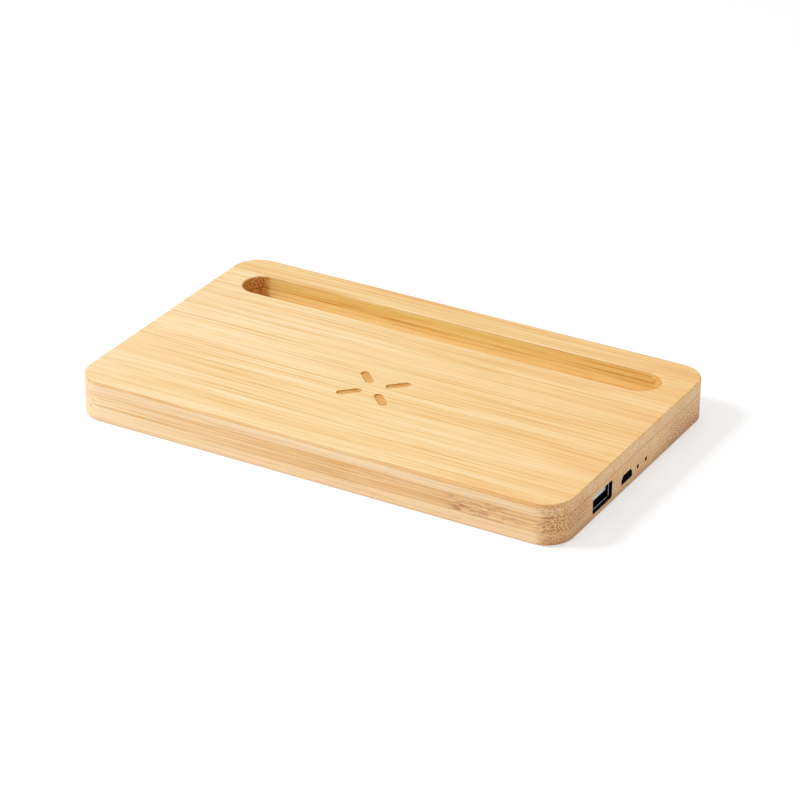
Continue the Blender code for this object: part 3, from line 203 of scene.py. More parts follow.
bamboo, bamboo_mm = start("laminated_bamboo_waxed")
wood = functools.partial(add, bamboo)
sway = stretched(bamboo, bamboo_mm, (0.011, 0.02, 0.05), 1).outputs["Color"]
grain = wood("VectorMath", [sway, SWAY, bamboo_mm], operation="MULTIPLY_ADD")
grain_at = wood("SeparateXYZ", [grain]).outputs

# Fibres are 0.7 mm apart and finer, and run on for some 60 to 90 mm
fibre = stretched(bamboo, grain, (0.012, 1.45, 1.5), 3, 0.8)

# Bundles run the whole length, 0.8 mm apart in an uneven honeycomb, some 0.4 mm thick
bundle_place = wood("CombineXYZ", [grain_at["Y"], grain_at["Z"]])
bundle_distance = wood("TexVoronoi", {
    "Vector": bundle_place, "Scale": 1.3, "Randomness": 0.85}, voronoi_dimensions="2D")
bundle = wood("MapRange", [bundle_distance, 0.18, 0.44, 1, 0], **SOFT)

# Each strip of the culm is a little lighter or darker than its neighbours
strip = stretched(bamboo, grain, (0.010, 0.10, 0.2), 2)
print("bamboo grain nodes:", len(bamboo.node_tree.nodes))

# %% [markdown]
# ## Laminated bamboo: its colours
#
# The ground is a warm cream. A painted sheen makes the top paler at its left and more golden at
# its right. Over it come the fibres, the strips and a few stronger orange lines, where a strip
# was cut near the hard skin of the culm. The masks come first: which way a face looks, and
# where it is along, across and up the block. The rest of the finish is mixed from them.

# %% Bamboo: masks
BOARD_HALF = (90, 55)
BOARD_BOTTOM = 0.5
BOARD_TOP = 15.1

place_at = wood("SeparateXYZ", [bamboo_mm]).outputs
normal_at = wood("SeparateXYZ", [wood("TexCoord").outputs["Normal"]]).outputs
sway_middle = SWAY[1] / 2
along = wood("MapRange", [place_at["X"], -BOARD_HALF[0], BOARD_HALF[0]])
across = wood("MapRange", [
    grain_at["Y"], sway_middle - BOARD_HALF[1], sway_middle + BOARD_HALF[1]])
ply = wood("MapRange", [place_at["Z"], BOARD_BOTTOM, BOARD_TOP])
facing_up = wood("Math", [normal_at["Z"]], operation="ABSOLUTE")
facing_long = wood("Math", [normal_at["Y"]], operation="ABSOLUTE")

# Painted shade: ends that face away from the lamp get the full darker end grain, and ends that
# face the lamp only a little of it
lamp_side_ends = wood("Math", [normal_at["X"], -0.28], **TIMES)
end_facing_and_shade = wood("Math", [normal_at["X"], lamp_side_ends], operation="MAXIMUM")
end_grain_and_shade = wood("MapRange", [end_facing_and_shade, 0.10, 0.55], **SOFT)
print("bamboo nodes with masks:", len(bamboo.node_tree.nodes))

# %% Bamboo: ground and strips
ground = wood("ValToRGB", [fibre], name="Ground", stops={
    0.36: "E7BA78", 0.44: "F4D298", 0.50: "FBDFAF", 0.61: "FEEBC7"})
strip_tint = wood("ValToRGB", [strip], stops={
    0.34: "FBF0E1", 0.50: "FEF9F2", 0.66: "FFFFFF"})
striped = wood("Mix", [1.0, ground, strip_tint], **TINT)

# Painted sheen: the top is paler at its left, where the lamp's sheen falls, and more golden to
# its right, and the long sides somewhat less
painted_sheen = wood("ValToRGB", [along], stops={0.0: "FFFFFF", 0.5: "FFFAEC", 1.0: "FFEFD6"})
sheen_side = wood("Math", [facing_long, 0.6], **TIMES)
sheen_share = wood("Math", [facing_up, sheen_side], operation="MAXIMUM")
sheened = wood("Mix", [sheen_share, striped, painted_sheen], **TINT)

# The strips behind the slot come from an older, more golden culm, mostly at the left
behind_slot = wood("MapRange", [across, 0.885, 0.905])
behind_fade = wood("MapRange", [along, 0.15, 0.85, 1, 0.5])
behind_share = (behind_slot, facing_up, behind_fade)
aged = wood("Mix", [behind_share, sheened, "F8EBD5"], **TINT)
print("bamboo nodes with strips:", len(bamboo.node_tree.nodes))

# %% [markdown]
# ## Laminated bamboo: plies, seams and skin lines
#
# A thin line of glue marks each seam, 4.8 and 10.5 mm over the desk. Brown fibres run along
# the front just under the top, and the lowest edge is a little darker. The middle
# ply is as pale as the others at the left and a shade more tan to the right, with brown streaks
# and the knuckle of a culm. These belong to the long sides, and the routed slot gets its own
# share of them below.

# %% Bamboo: plies and seams
seams = wood("ValToRGB", [ply], stops={
    0.000: "FFFFFF", 0.286: "FFFFFA", 0.292: "F0E3CF", 0.300: "FFFFFF",
    0.664: "FFFFFF", 0.682: "EEE0CA", 0.692: "FFFFFF"})
seamed = wood("Mix", [1.0, aged, seams], **TINT)

# Brown fibres and a darker foot run along the front alone
front_strip = wood("MapRange", [across, 0.10, 0.05])
front_share = wood("Math", [front_strip, facing_long], **TIMES)
edge_fibres = wood("ValToRGB", [ply], stops={
    0.000: "D2A877", 0.035: "E6C8A2", 0.060: "FFFFFF", 0.895: "FFFFFF",
    0.912: "F0DEC4", 0.930: "F1DFC4", 0.946: "FAF1E2", 0.966: "F3E3C6",
    0.986: "F5E7CC", 1.000: "FFFDF9"})
edged = wood("Mix", [front_share, seamed, edge_fibres], **TINT)

middle_ply = wood("ValToRGB", [ply], stops={
    0.000: 0.10, 0.290: 0.15, 0.300: 1.0, 0.680: 1.0, 0.690: 0.05})
tanned = wood("ValToRGB", [along], stops={0.05: 0.10, 0.45: 0.55, 0.75: 1.0})
side_share = wood("MapRange", [end_grain_and_shade, 0, 1, 1, 0.2])
middle_side = wood("Math", [(middle_ply, tanned), side_share], **TIMES)
middled = wood("Mix", [middle_side, edged, "F6EEE5"], name="Middle ply", **TINT)

# The lowest ply was laid up from paler strips than the others
lowest_ply = wood("MapRange", [ply, 0.295, 0.285])
paler = wood("Mix", [(lowest_ply, 0.4), middled, "FBE0B7"], **OVER)

# The front strip of the upper ply is paler and more even too
upper_ply = wood("ValToRGB", [ply], stops={
    0.690: 0, 0.700: 0.38, 0.870: 0.38, 0.905: 0})
plied = wood("Mix", [(upper_ply, front_share), paler, "F9E0BB"], **OVER)
print("bamboo nodes with plies:", len(bamboo.node_tree.nodes))

# %% Bamboo: skin lines
# Places of the lines across the board in mm from its middle, and how strong each is
SKIN_LINES = (
    (-39.0, 0.50), (-30.5, 0.20), (-16.0, 0.45), (-7.5, 0.15), (3.4, 1.00), (13.0, 0.20),
    (24.0, 0.25), (48.0, 0.40))
LINE_SHARE = 0.004

line_stops = {0.0: 0}
for centre, strength in SKIN_LINES:
    share = (centre + BOARD_HALF[1]) / (2 * BOARD_HALF[1])
    line_stops.update({share - LINE_SHARE: 0, share: strength, share + LINE_SHARE: 0})
skin_line = wood("ValToRGB", [across], stops=line_stops)
reach = stretched(bamboo, grain, (0.02, 0.9, 0.9), 4)
reach_mask = wood("MapRange", [reach, 0.34, 0.52])
lined = wood("Mix", [(skin_line, reach_mask, facing_up), plied, "E0A75C"], **OVER)
print("skin lines:", len(SKIN_LINES))

# %% Bamboo: streaks and the knuckle
# Streaks are some 30 mm long and half a millimetre thick
streak = stretched(bamboo, grain, (0.03, 0.5, 1.5), 3, 0.6)
streak_mask = wood("MapRange", [streak, 0.52, 0.72, 0, 0.55])
streaked = wood("Mix", [(streak_mask, middle_side), lined, "C79C66"], **OVER)

# The culm's knuckle crosses the front strip of the middle ply 55 mm right of the middle, and
# its marks trail off towards the right end
knuckle_x = wood("MapRange", [grain_at["X"], 49, 79])
knuckle_band = wood("ValToRGB", [knuckle_x], stops={
    0.00: 0, 0.12: 0.5, 0.19: 1.0, 0.28: 0.55, 0.75: 0.35, 1.0: 0})
knuckle_y = wood("MapRange", [grain_at["Y"], -38, -42])
knuckle_noise = stretched(bamboo, grain, (0.28, 0.9, 1.2), 4)
knuckle_mark = wood("MapRange", [knuckle_noise, 0.47, 0.60])
knuckle_share = (knuckle_band, knuckle_y, middle_side, knuckle_mark)
knuckled = wood("Mix", [knuckle_share, streaked, "AD7444"], **OVER)
print("bamboo nodes with the knuckle:", len(bamboo.node_tree.nodes))

# %% [markdown]
# ## Laminated bamboo: end grain
#
# Across an end, the bundles show as a honeycomb of brown dots. Strips from the hard outside of
# the culm hold more of them, high at the front corner and low at the back. At the front even
# the ground between the dots is darker. The saw leaves fine upright scratches on the ends, and
# the ends drink more wax and so turn a darker tan than the long sides.

# %% Bamboo: end grain
dense_strip = wood("ValToRGB", [across], stops={
    0.00: 1.0, 0.13: 1.0, 0.22: 0.35, 0.64: 0.30, 0.74: 1.0, 1.00: 1.0})
front_ply = wood("ValToRGB", [ply], stops={
    0.000: 0.50, 0.285: 0.50, 0.300: 1.00, 0.680: 0.95, 0.690: 0.70, 1.000: 0.40})
back_ply = wood("ValToRGB", [ply], name="Back ply", stops={
    0.000: 0.90, 0.285: 1.00, 0.300: 0.95, 0.500: 0.60, 0.680: 0.30, 1.000: 0.12})
to_back = wood("MapRange", [across, 0.25, 0.55])
dense_ply = wood("Mix", [to_back, front_ply, back_ply], **OVER)
dense = wood("Math", [dense_strip, dense_ply], **TIMES)
ground_share = wood("MapRange", [to_back, 0, 1, 0.35, 0.08])
dense_share = (dense, end_grain_and_shade, ground_share)
darkened = wood("Mix", [dense_share, knuckled, "C79060"], **OVER)
bundle_strength = wood("MapRange", [end_grain_and_shade, 0, 1, 0.04, 0.95])
bundle_share = (bundle, (bundle_strength, dense))
bundled = wood("Mix", [bundle_share, darkened, "A36B39"], **OVER)

# Saw scratches are drawn 0.35 mm apart, a little coarser than real so that they show
scratch = stretched(bamboo, bamboo_mm, (2.8, 2.8, 0.2), 2)
scratch_tint = wood("ValToRGB", [scratch], stops={0.38: "F2EAE4", 0.62: "FFFFFF"})

# The ends darken towards the desk, and show both seams
end_ply = wood("ValToRGB", [ply], stops={
    0.000: "DAC0AE", 0.140: "ECDACD", 0.286: "FDF6F2", 0.296: "E3CFBD",
    0.306: "FFFCFA", 0.668: "FFFCFA", 0.684: "E0CBB8", 0.700: "FFFAF7"})
end_marks = wood("Mix", [1.0, scratch_tint, end_ply], **TINT)
scratched = wood("Mix", [end_grain_and_shade, bundled, end_marks], **TINT)
print("bamboo nodes with end grain:", len(bamboo.node_tree.nodes))

# %% Bamboo: faces, wax and shader
# Painted shade: the long sides get a tint a shade darker than the top, and the ends a tint of their
# own
side_shade_tint = wood("Mix", [facing_long, "FFFFFF", "F9F8FF"], **OVER)
face_shade_tint = wood("Mix", [end_grain_and_shade, side_shade_tint, "FFFCF9"], name="End", **OVER)
faced = wood("Mix", [1.0, scratched, face_shade_tint], **TINT)
tone = wood("Mix", [1.0, faced, "FFFFFF"], name="Tone", **TINT)

# Wax leaves a soft satin, a little duller in the fibre lines
waxed = wood("MapRange", [fibre, 0.3, 0.7, 0.62, 0.48])
surface(bamboo, tone, waxed, fibre, 0.25, 0.03)
print("bamboo nodes in all:", len(bamboo.node_tree.nodes))

# %% [markdown]
# ## Routed, engraved and charred bamboo
#
# The slot keeps the same grain, but its walls are more golden and its cut ends a darker brown,
# partly the cut's own colour and partly painted shade of the recess, with painted light where the
# lamp and the light bounced from below reach, so its finish is a copy of the first one with other
# tints. The four strokes of the mark are burnt into the top by a laser, which turns the bamboo
# golden brown, and the steep rims of a stroke are painted darker than its floor as painted shade.
# The holes for the sockets are cut with more heat, so that their walls are black char.

# %% Routed bamboo
# Number of the input that holds the upper colour of a Mix
ABOVE = 7

routed = bamboo.copy()
routed.name = "routed_bamboo"
routed_nodes = routed.node_tree.nodes
# The slot's walls are a darker gold and its end grain a darker brown, partly the cut's own colour
# and partly painted shade of the recess; the middle ply is painted paler by light bounced from
# below
plug(routed, routed_nodes["Middle ply"], {ABOVE: "FFFDF8"})
plug(routed, routed_nodes["End"], {ABOVE: "E8C7A8"})
routed_ground = routed_nodes["Ground"].color_ramp.elements
routed_ground[0].color = linear("DCA559")
routed_ground[1].color = linear("F4D093")
for stop in routed_nodes["Back ply"].color_ramp.elements:
    stop.color = (0.9, 0.9, 0.9, 1.0)

# Painted shade and light: the upper wall is painted darker than the lower, and the far round
# end, which faces the lamp, is painted paler
routed_at = add(routed, "TexCoord").outputs
routed_height = add(routed, "SeparateXYZ", [routed_at["Object"]]).outputs["Z"]
routed_facing = add(routed, "SeparateXYZ", [routed_at["Normal"]]).outputs["X"]
upper_wall_shade = add(routed, "MapRange", [routed_height, 8 * MM, 12 * MM])
wall_shade_tone = add(routed, "Mix", [upper_wall_shade, "FFFFE2", "F9F4C4"], **OVER)
lit_round_end = add(routed, "MapRange", [routed_facing, -0.2, -0.8])
routed_light_tone = add(routed, "Mix", [lit_round_end, wall_shade_tone, "FDF8E4"], **OVER)
plug(routed, routed_nodes["Tone"], {ABOVE: routed_light_tone})

# Painted bounce light: the foot of the wall is painted paler, where light comes up from the
# slot's floor and its front wall
painted_bounce = add(routed, "MapRange", [routed_height, 10 * MM, 7 * MM, 0, 0.36])
near_end = add(routed, "MapRange", [routed_facing, 0.6, 0.1])
bounce_lit = add(routed, "Mix", [(painted_bounce, near_end), routed_nodes["Tone"], "FFE6B2"], **OVER)

# The far round end is cut across the fibres, which show there as specks half a millimetre wide
speckle = add(routed, "TexNoise", [routed_at["Object"], 1900, 2])
speckle_mask = add(routed, "MapRange", [speckle, 0.5, 0.6, 0, 0.45])
speckled = add(routed, "Mix", [(speckle_mask, lit_round_end), bounce_lit, "B57B3C"], **OVER)
shade(routed, {"Base Color": speckled})
print("routed bamboo nodes:", len(routed_nodes))

# %% Engraved bamboo
engraved, engraved_mm = start("laser_engraved_bamboo")
scorch = stretched(engraved, engraved_mm, (0.12, 1.6, 1.6), 3)
engraved_floor = add(engraved, "ValToRGB", [scorch], stops={
    0.35: "D59A50", 0.50: "DEA85D", 0.66: "E6B870"})
engraved_facing = add(engraved, "TexCoord").outputs["Normal"]
engraved_up = add(engraved, "SeparateXYZ", [engraved_facing]).outputs["Z"]
# Painted shade: the steep walls of a stroke are painted darker than its floor
stroke_wall_shade = add(engraved, "MapRange", [engraved_up, 0.95, 0.3, 0, 0.15])
engraved_colour = add(engraved, "Mix", [stroke_wall_shade, engraved_floor, "C18B4B"], **OVER)
surface(engraved, engraved_colour, 0.7, scorch, 0.4, 0.06)
print("engraved bamboo nodes:", len(engraved.node_tree.nodes))

# %% Charred bamboo
charred, charred_mm = start("charred_bamboo")
crust = add(charred, "TexNoise", [charred_mm, 2.2, 4, 0.6])
charred_colour = add(charred, "ValToRGB", [crust], stops={
    0.35: "070504", 0.60: "0F0A08", 0.75: "1E1510"})
surface(charred, charred_colour, 0.9, crust, 0.5, 0.05)
shade(charred, {"Specular IOR Level": 0.15})
print("bamboo finishes:", bamboo.name, routed.name, engraved.name, charred.name)

# %% [markdown]
# ## Modelling helpers
#
# A workshop cuts this block with a saw, a router, a drill and a laser. The same steps work in
# Blender: a box is sawn to size, its corners are rounded, and cutters are taken out of it with
# Boolean modifiers. Each helper below is one such step, and picks what it works on by its
# place or its direction, because there is no mouse to click with.

# %% Helpers for shapes
CRISP_ANGLE = math.radians(35)
# Places closer than this count as the same, in millimetres
TOUCH = 0.01


def free_hands():
    """Deselect everything, so that an operator acts only on what is made next."""
    bpy.ops.object.select_all(action="DESELECT")


def grip(piece):
    """Make a piece the only selected and active one."""
    free_hands()
    piece.select_set(True)
    bpy.context.view_layer.objects.active = piece


def settle(piece, name):
    """Name a piece, and move its place, turn and scale into its mesh."""
    piece.name = name
    grip(piece)
    bpy.ops.object.transform_apply(location=True, rotation=True, scale=True)
    return piece


def box(name, low, high):
    """Box between two corners, in millimetres."""
    free_hands()
    low = Vector(low) * MM
    high = Vector(high) * MM
    bpy.ops.mesh.primitive_cube_add(size=1, location=(low + high) / 2, scale=high - low)
    return settle(bpy.context.object, name)


def bar(name, radius, centre, low, high, sides=64, lying=False):
    """Round bar in millimetres, upright round an X and Y or lying along X round a Y and Z."""
    free_hands()
    middle = (low + high) / 2
    place = (middle, *centre) if lying else (*centre, middle)
    bpy.ops.mesh.primitive_cylinder_add(
        vertices=sides, radius=radius * MM, depth=(high - low) * MM,
        location=[side * MM for side in place], rotation=(0, math.pi / 2 if lying else 0, 0))
    return settle(bpy.context.object, name)


def select(piece, kind, test):
    """In edit mode, select the vertices, edges or faces that pass a test, and count them."""
    grip(piece)
    bpy.ops.object.mode_set(mode="EDIT")
    bpy.ops.mesh.select_mode(type={"verts": "VERT", "edges": "EDGE", "faces": "FACE"}[kind])
    bpy.ops.mesh.select_all(action="DESELECT")
    shape = bmesh.from_edit_mesh(piece.data)
    found = [item for item in getattr(shape, kind) if test(item)]
    for item in found:
        item.select_set(True)
    shape.select_flush_mode()
    bmesh.update_edit_mesh(piece.data)
    return len(found)


def leave():
    """Back to object mode."""
    bpy.ops.object.mode_set(mode="OBJECT")


def shift(piece, test, step):
    """Move the vertices that pass a test by a vector in millimetres."""
    select(piece, "verts", test)
    bpy.ops.transform.translate(value=Vector(step) * MM)
    leave()


def push_out(step):
    """In edit mode, extrude the selected faces by a vector in millimetres."""
    bpy.ops.mesh.extrude_region_move(TRANSFORM_OT_translate={"value": Vector(step) * MM})


def runs_along(axis):
    """Test for edges that run along an axis: 0 for X, 1 for Y and 2 for Z."""
    def test(edge):
        line = edge.verts[1].co - edge.verts[0].co
        return abs(line[axis]) > 0.999 * line.length
    return test


def is_sharp(edge, degrees=60):
    """True for an edge whose two faces meet at more than an angle."""
    return len(edge.link_faces) == 2 and edge.calc_face_angle(0) > math.radians(degrees)


def sharp_where(test, degrees=60):
    """Test for sharp edges whose two ends, in millimetres, pass another test."""
    return lambda edge: is_sharp(edge, degrees) and all(test(end.co / MM) for end in edge.verts)


def round_edges(piece, test, radius, segments):
    """Round the edges that pass a test, and count them."""
    count = select(piece, "edges", test)
    bpy.ops.mesh.bevel(offset=radius * MM, segments=segments, profile=0.5, affect="EDGES")
    leave()
    return count


def pull_apart(piece, angle, reach):
    """Draw a round bar out into a bar with two straight sides and two round ends."""
    heading = Vector((math.cos(angle), math.sin(angle), 0))
    middle = sum((vertex.co for vertex in piece.data.vertices), Vector()) / len(piece.data.vertices)
    for way in (1, -1):
        shift(
            piece, lambda vertex: (vertex.co - middle).dot(heading) * way > TOUCH * MM,
            heading * way * reach)
    return piece


def combine(piece, other, operation):
    """Take another closed shape out of a piece or join it on, and throw the other away."""
    grip(piece)
    step = piece.modifiers.new("Combine", "BOOLEAN")
    step.object = other
    step.operation = operation
    step.solver = "EXACT"
    bpy.ops.object.modifier_apply(modifier=step.name)
    bpy.data.objects.remove(other)


def cut(piece, cutter):
    """Take a cutter out of a piece."""
    combine(piece, cutter, "DIFFERENCE")


def smooth(piece):
    """Shade curved faces smooth, keep flat faces flat and corners crisp."""
    grip(piece)
    bpy.ops.object.shade_smooth_by_angle(angle=CRISP_ANGLE)
    even = piece.modifiers.new("Even", "WEIGHTED_NORMAL")
    even.keep_sharp = True
    bpy.ops.object.modifier_apply(modifier=even.name)


print("shape helpers ready")

# %% [markdown]
# ## The bamboo block: saw, router and sander
#
# The real block is sawn 180 by 110 mm, its corners are sawn to a 10 mm radius, and a router
# with a 14.6 mm bit makes the long slot, which is why the slot's ends are full half circles.
# Then a sander breaks all its outer edges by half a millimetre. The edges catch a thin line
# of light, so they get four segments each. They are rounded before the small cuts are made,
# because the laser and the drills come after the sander and leave their edges crisp.

# %% Saw the block and rout the slot
CORNER_RADIUS = 10
SLOT_CENTRE = (0, 36.5)
SLOT_RADIUS = 7.3
SLOT_FLOOR = 6.1
SLOT_REACH = 72.7
EASE = 0.5
# Cutters reach this far past the faces that they open
OVERRUN = 1

half_x, half_y = BOARD_HALF
block = box("bamboo_board", (-half_x, -half_y, BOARD_BOTTOM), (half_x, half_y, BOARD_TOP))
corners = round_edges(block, runs_along(2), CORNER_RADIUS, 24)
slot_bit = bar("slot_bit", SLOT_RADIUS, SLOT_CENTRE, SLOT_FLOOR, BOARD_TOP + OVERRUN, 96)
cut(block, pull_apart(slot_bit, 0, SLOT_REACH))


def is_rim(edge):
    """Outer edges at the top and bottom, the slot's mouth and the edge of the slot's floor."""
    heights = [vertex.co.z / MM for vertex in edge.verts]
    return abs(heights[0] - heights[1]) < TOUCH and is_sharp(edge)


rims = round_edges(block, is_rim, EASE, 4)
print("corners rounded:", corners, "rim edges eased:", rims)

# %% Burn the mark
MARK_CENTRE = (0, -12.9)
MARK_INNER = 4.1
MARK_OUTER = 12.7
MARK_MARGIN = 2
STROKE_RADIUS = 1.4
STROKE_FLOOR = BOARD_TOP - 0.6
STROKE_FOOT_RADIUS = 0.35
STROKE_RIM_RADIUS = 0.08

stroke_middle = (MARK_INNER + MARK_OUTER) / 2
stroke_reach = (MARK_OUTER - MARK_INNER) / 2 - STROKE_RADIUS
for quarter in range(4):
    angle = math.pi / 4 + quarter * math.pi / 2
    centre = (
        MARK_CENTRE[0] + stroke_middle * math.cos(angle),
        MARK_CENTRE[1] + stroke_middle * math.sin(angle))
    stroke = bar("stroke", STROKE_RADIUS, centre, STROKE_FLOOR, BOARD_TOP + OVERRUN, 48)
    pull_apart(stroke, angle, stroke_reach)
    stroke_foot = sharp_where(lambda end: end.z < STROKE_FLOOR + TOUCH)
    round_edges(stroke, stroke_foot, STROKE_FOOT_RADIUS, 3)
    cut(block, stroke)


def near_mark(place):
    """True inside the circle that the four strokes fill, for a place in millimetres."""
    return (place.xy - Vector(MARK_CENTRE)).length < MARK_OUTER + MARK_MARGIN


stroke_rim = sharp_where(lambda end: abs(end.z - BOARD_TOP) < TOUCH and near_mark(end), 45)
print("stroke rims eased:", round_edges(block, stroke_rim, STROKE_RIM_RADIUS, 2))

# %% [markdown]
# ## The bamboo block: bays and openings
#
# From below, the block is hollowed for the cover, the coil, its leads and the circuit board,
# and the right end is pierced for two sockets and two pinholes. None of the bays shows in the
# photograph, but the inner parts need their room, and a lifted cover would show it all. The
# cutters are boxes and bars with their corners rounded to the size of the mill that cuts them.

# %% Hollow the block from below
UNDER = -OVERRUN
COVER_SCREWS = [(x, y) for x in (-80, 0, 80) for y in (-47, 47)]
BOARD_SCREWS = [(x, y) for x in (44, 80) for y in (-36.4, 10.4)]
REBATE_HALF = (88, 53)
REBATE_TOP = 1.8
COIL_BAY_RADIUS = 25
COIL_BAY_TOP = 11.5
CHANNEL_TOP = 11.3
BOARD_BAY_TOP = 3.5
PARTS_BAY_TOP = 10.2
BAY_CORNER = 1.5


def mill(piece, low, high, top, radius, segments):
    """Cut a room with round corners into a piece from below, up to a height."""
    room = box("room", (*low, UNDER), (*high, top))
    round_edges(room, runs_along(2), radius, segments)
    cut(piece, room)


# Rebate for the cover, round bay for the coil, channel for its leads, and two steps for the
# circuit board and the parts on it
mill(block, -Vector(REBATE_HALF), Vector(REBATE_HALF), REBATE_TOP, 8, 16)
cut(block, bar("coil_bay", COIL_BAY_RADIUS, MARK_CENTRE, UNDER, COIL_BAY_TOP, 96))
cut(block, box("lead_channel", (0, -24.9, UNDER), (39, -0.9, CHANNEL_TOP)))
mill(block, (33, -38.5), (87, 12.5), BOARD_BAY_TOP, BAY_CORNER, 6)
mill(block, (38, -34.7), (86.2, 8.7), PARTS_BAY_TOP, BAY_CORNER, 6)
for spot in COVER_SCREWS:
    cut(block, bar("cover_screw_hole", 1.1, spot, 1, 6.1, 24))
for spot in BOARD_SCREWS:
    cut(block, bar("board_screw_hole", 0.8, spot, 3, 7.0, 24))
print("faces after the bays:", len(block.data.polygons))

# %% Pierce the right end
END_INSIDE = 85.2
END_OUTSIDE = BOARD_HALF[0] + OVERRUN
OUTPUT_CENTRE = (-25.4, 5.6)
OUTPUT_HALF = (6.85, 3.15)
INPUT_MIDDLE = -7.9
INPUT_HALF = 3.9
INPUT_HALF_ABOVE = 2.7
INPUT_HEIGHTS = (3.3, 5.0, 6.45)
PINHOLES = ((0.1, 4.8), (6.1, 4.8))
PINHOLE_RADIUS = 0.75

output_low = Vector(OUTPUT_CENTRE) - Vector(OUTPUT_HALF)
output_high = Vector(OUTPUT_CENTRE) + Vector(OUTPUT_HALF)
output_cutter = box("output_cutter", (END_INSIDE, *output_low), (END_OUTSIDE, *output_high))
round_edges(output_cutter, runs_along(0), 0.9, 6)
cut(block, output_cutter)

# The small opening narrows from its middle height upwards
foot, waist, crown = INPUT_HEIGHTS
input_cutter = box(
    "input_cutter", (END_INSIDE, INPUT_MIDDLE - INPUT_HALF, foot),
    (END_OUTSIDE, INPUT_MIDDLE + INPUT_HALF, crown))
select(input_cutter, "faces", lambda face: True)
bpy.ops.mesh.bisect(plane_co=(0, 0, waist * MM), plane_no=(0, 0, 1))
leave()
select(input_cutter, "verts", lambda vertex: vertex.co.z > 6 * MM)
bpy.ops.transform.resize(
    value=(1, INPUT_HALF_ABOVE / INPUT_HALF, 1),
    center_override=(END_INSIDE * MM, INPUT_MIDDLE * MM, crown * MM))
leave()
cut(block, input_cutter)
for centre in PINHOLES:
    cut(block, bar("pinhole", PINHOLE_RADIUS, centre, END_INSIDE, END_OUTSIDE, 32, lying=True))
print("faces after the openings:", len(block.data.polygons))

# %% Finish the block
# The walls of the openings lie between these two corners, in millimetres
WALLS_LOW = (86.25, -34, 2.0)
WALLS_HIGH = (89.9, 8, 9.5)

for finish in (bamboo, engraved, charred, routed):
    block.data.materials.append(finish)


def in_stroke(face):
    """Faces inside the four strokes."""
    place = face.calc_center_median() / MM
    return near_mark(place) and STROKE_FLOOR - EASE < place.z < BOARD_TOP - TOUCH / 2


def in_opening(face):
    """Walls of the two socket openings and the pinholes, between the bay and the end."""
    place = face.calc_center_median() / MM
    inside = all(low < side < high for low, side, high in zip(WALLS_LOW, place, WALLS_HIGH))
    return inside and abs(face.normal.x) < 0.1


def in_slot(face):
    """Walls and floor of the phone slot, with the rounding at its foot."""
    place = face.calc_center_median() / MM
    beside = abs(place.y - SLOT_CENTRE[1]) < SLOT_RADIUS + 0.1
    inside = beside and abs(place.x) < SLOT_REACH + SLOT_RADIUS + 0.1
    return inside and SLOT_FLOOR - 0.1 < place.z < BOARD_TOP - EASE + 0.05


for number, test in enumerate((in_stroke, in_opening, in_slot), 1):
    found = select(block, "faces", test)
    block.active_material_index = number
    bpy.ops.object.material_slot_assign()
    leave()
    print("faces with", block.data.materials[number].name + ":", found)
smooth(block)
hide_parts("bamboo_body")
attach(block, "root")

# %% [markdown]
# ## Finishes for the inner solids
#
# The other pieces are moulded, drawn, stamped or sintered, and most of them show one material
# that is never quite even. One function makes such a finish from two close tones, mottled at
# the grain size of its material, with a dullness and a relief that follow the same grain.
# What makes a finish special, such as solder at the ends, is added after it.

# %% Helpers for the inner solids
def grained(name, dark, light, grain, roughness, relief, metallic=0):
    """Finish of two close tones at a grain size and a relief in mm, and its place in mm."""
    made, in_mm = start(name)
    noise = add(made, "TexNoise", [in_mm, 1 / grain, 3])
    tones = add(made, "ValToRGB", [noise], stops={0.35: dark, 0.65: light})
    dullness = add(made, "MapRange", [noise, 0.3, 0.7, roughness * 0.85, roughness * 1.15])
    surface(made, tones, dullness, noise, 0.3, relief)
    shade(made, {"Metallic": metallic})
    return made, in_mm


def tint(finish, mask, colour):
    """Lay a colour over a finish where a mask is 1."""
    base = finish.node_tree.nodes["Principled BSDF"].inputs["Base Color"]
    below = base.links[0].from_socket
    shade(finish, {"Base Color": add(finish, "Mix", [mask, below, colour], **OVER)})


def dress(finish, *names):
    """Give solids a finish, and shade their round faces smooth and their corners crisp."""
    for name in names:
        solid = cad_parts[name]
        for holder in solid.material_slots:
            holder.material = finish
        for face in solid.data.polygons:
            face.use_smooth = True
        joined = solid.modifiers.new("Joined", "WELD")
        joined.merge_threshold = 0.0001 * MM
        crisp = solid.modifiers.new("Crisp", "EDGE_SPLIT")
        crisp.split_angle = CRISP_ANGLE


def numbered(name, count):
    """Names of solids that come in a row."""
    return [f"{name}_{index + 1}" for index in range(count)]


print("finish helpers ready")

# %% [markdown]
# ## Cover, feet and screws
#
# The cover is ABS, moulded in a tool with a spark-eroded surface, so it is black and evenly
# fine-grained, with a soft shine. The feet are silicone rubber, matt and a shade lighter. The
# screws are zinc-plated steel, bright with a faint cloudiness from the bath.

# %% Cover, feet and screws: finishes
abs_plastic = grained("moulded_black_abs", "151617", "202123", 0.35, 0.52, 0.03)[0]
silicone = grained("silicone_rubber", "262627", "303031", 0.8, 0.78, 0.01)[0]
zinc_plate = grained("zinc_plated_steel", "A9AEB3", "C9CDD1", 0.5, 0.30, 0.004, metallic=1)[0]
dress(zinc_plate, *numbered("cover_screw", 6), *numbered("board_screw", 4))
print("finished:", abs_plastic.name, silicone.name, zinc_plate.name)

# %% [markdown]
# ## The cover and the feet: moulded shapes
#
# The cover is a plate 1.2 mm thick, and its rims come out of the tool slightly round. It has a
# sunken field for the rating label, four rounds that keep the feet from creeping, and six
# countersunk holes. The countersink is shaped like its drill: a wide bar, a cone and a shank,
# grown from one bar by extruding its end. The feet are punched from rubber sheet with a soft
# lower edge, so one foot is made and copied to the places of the other three.

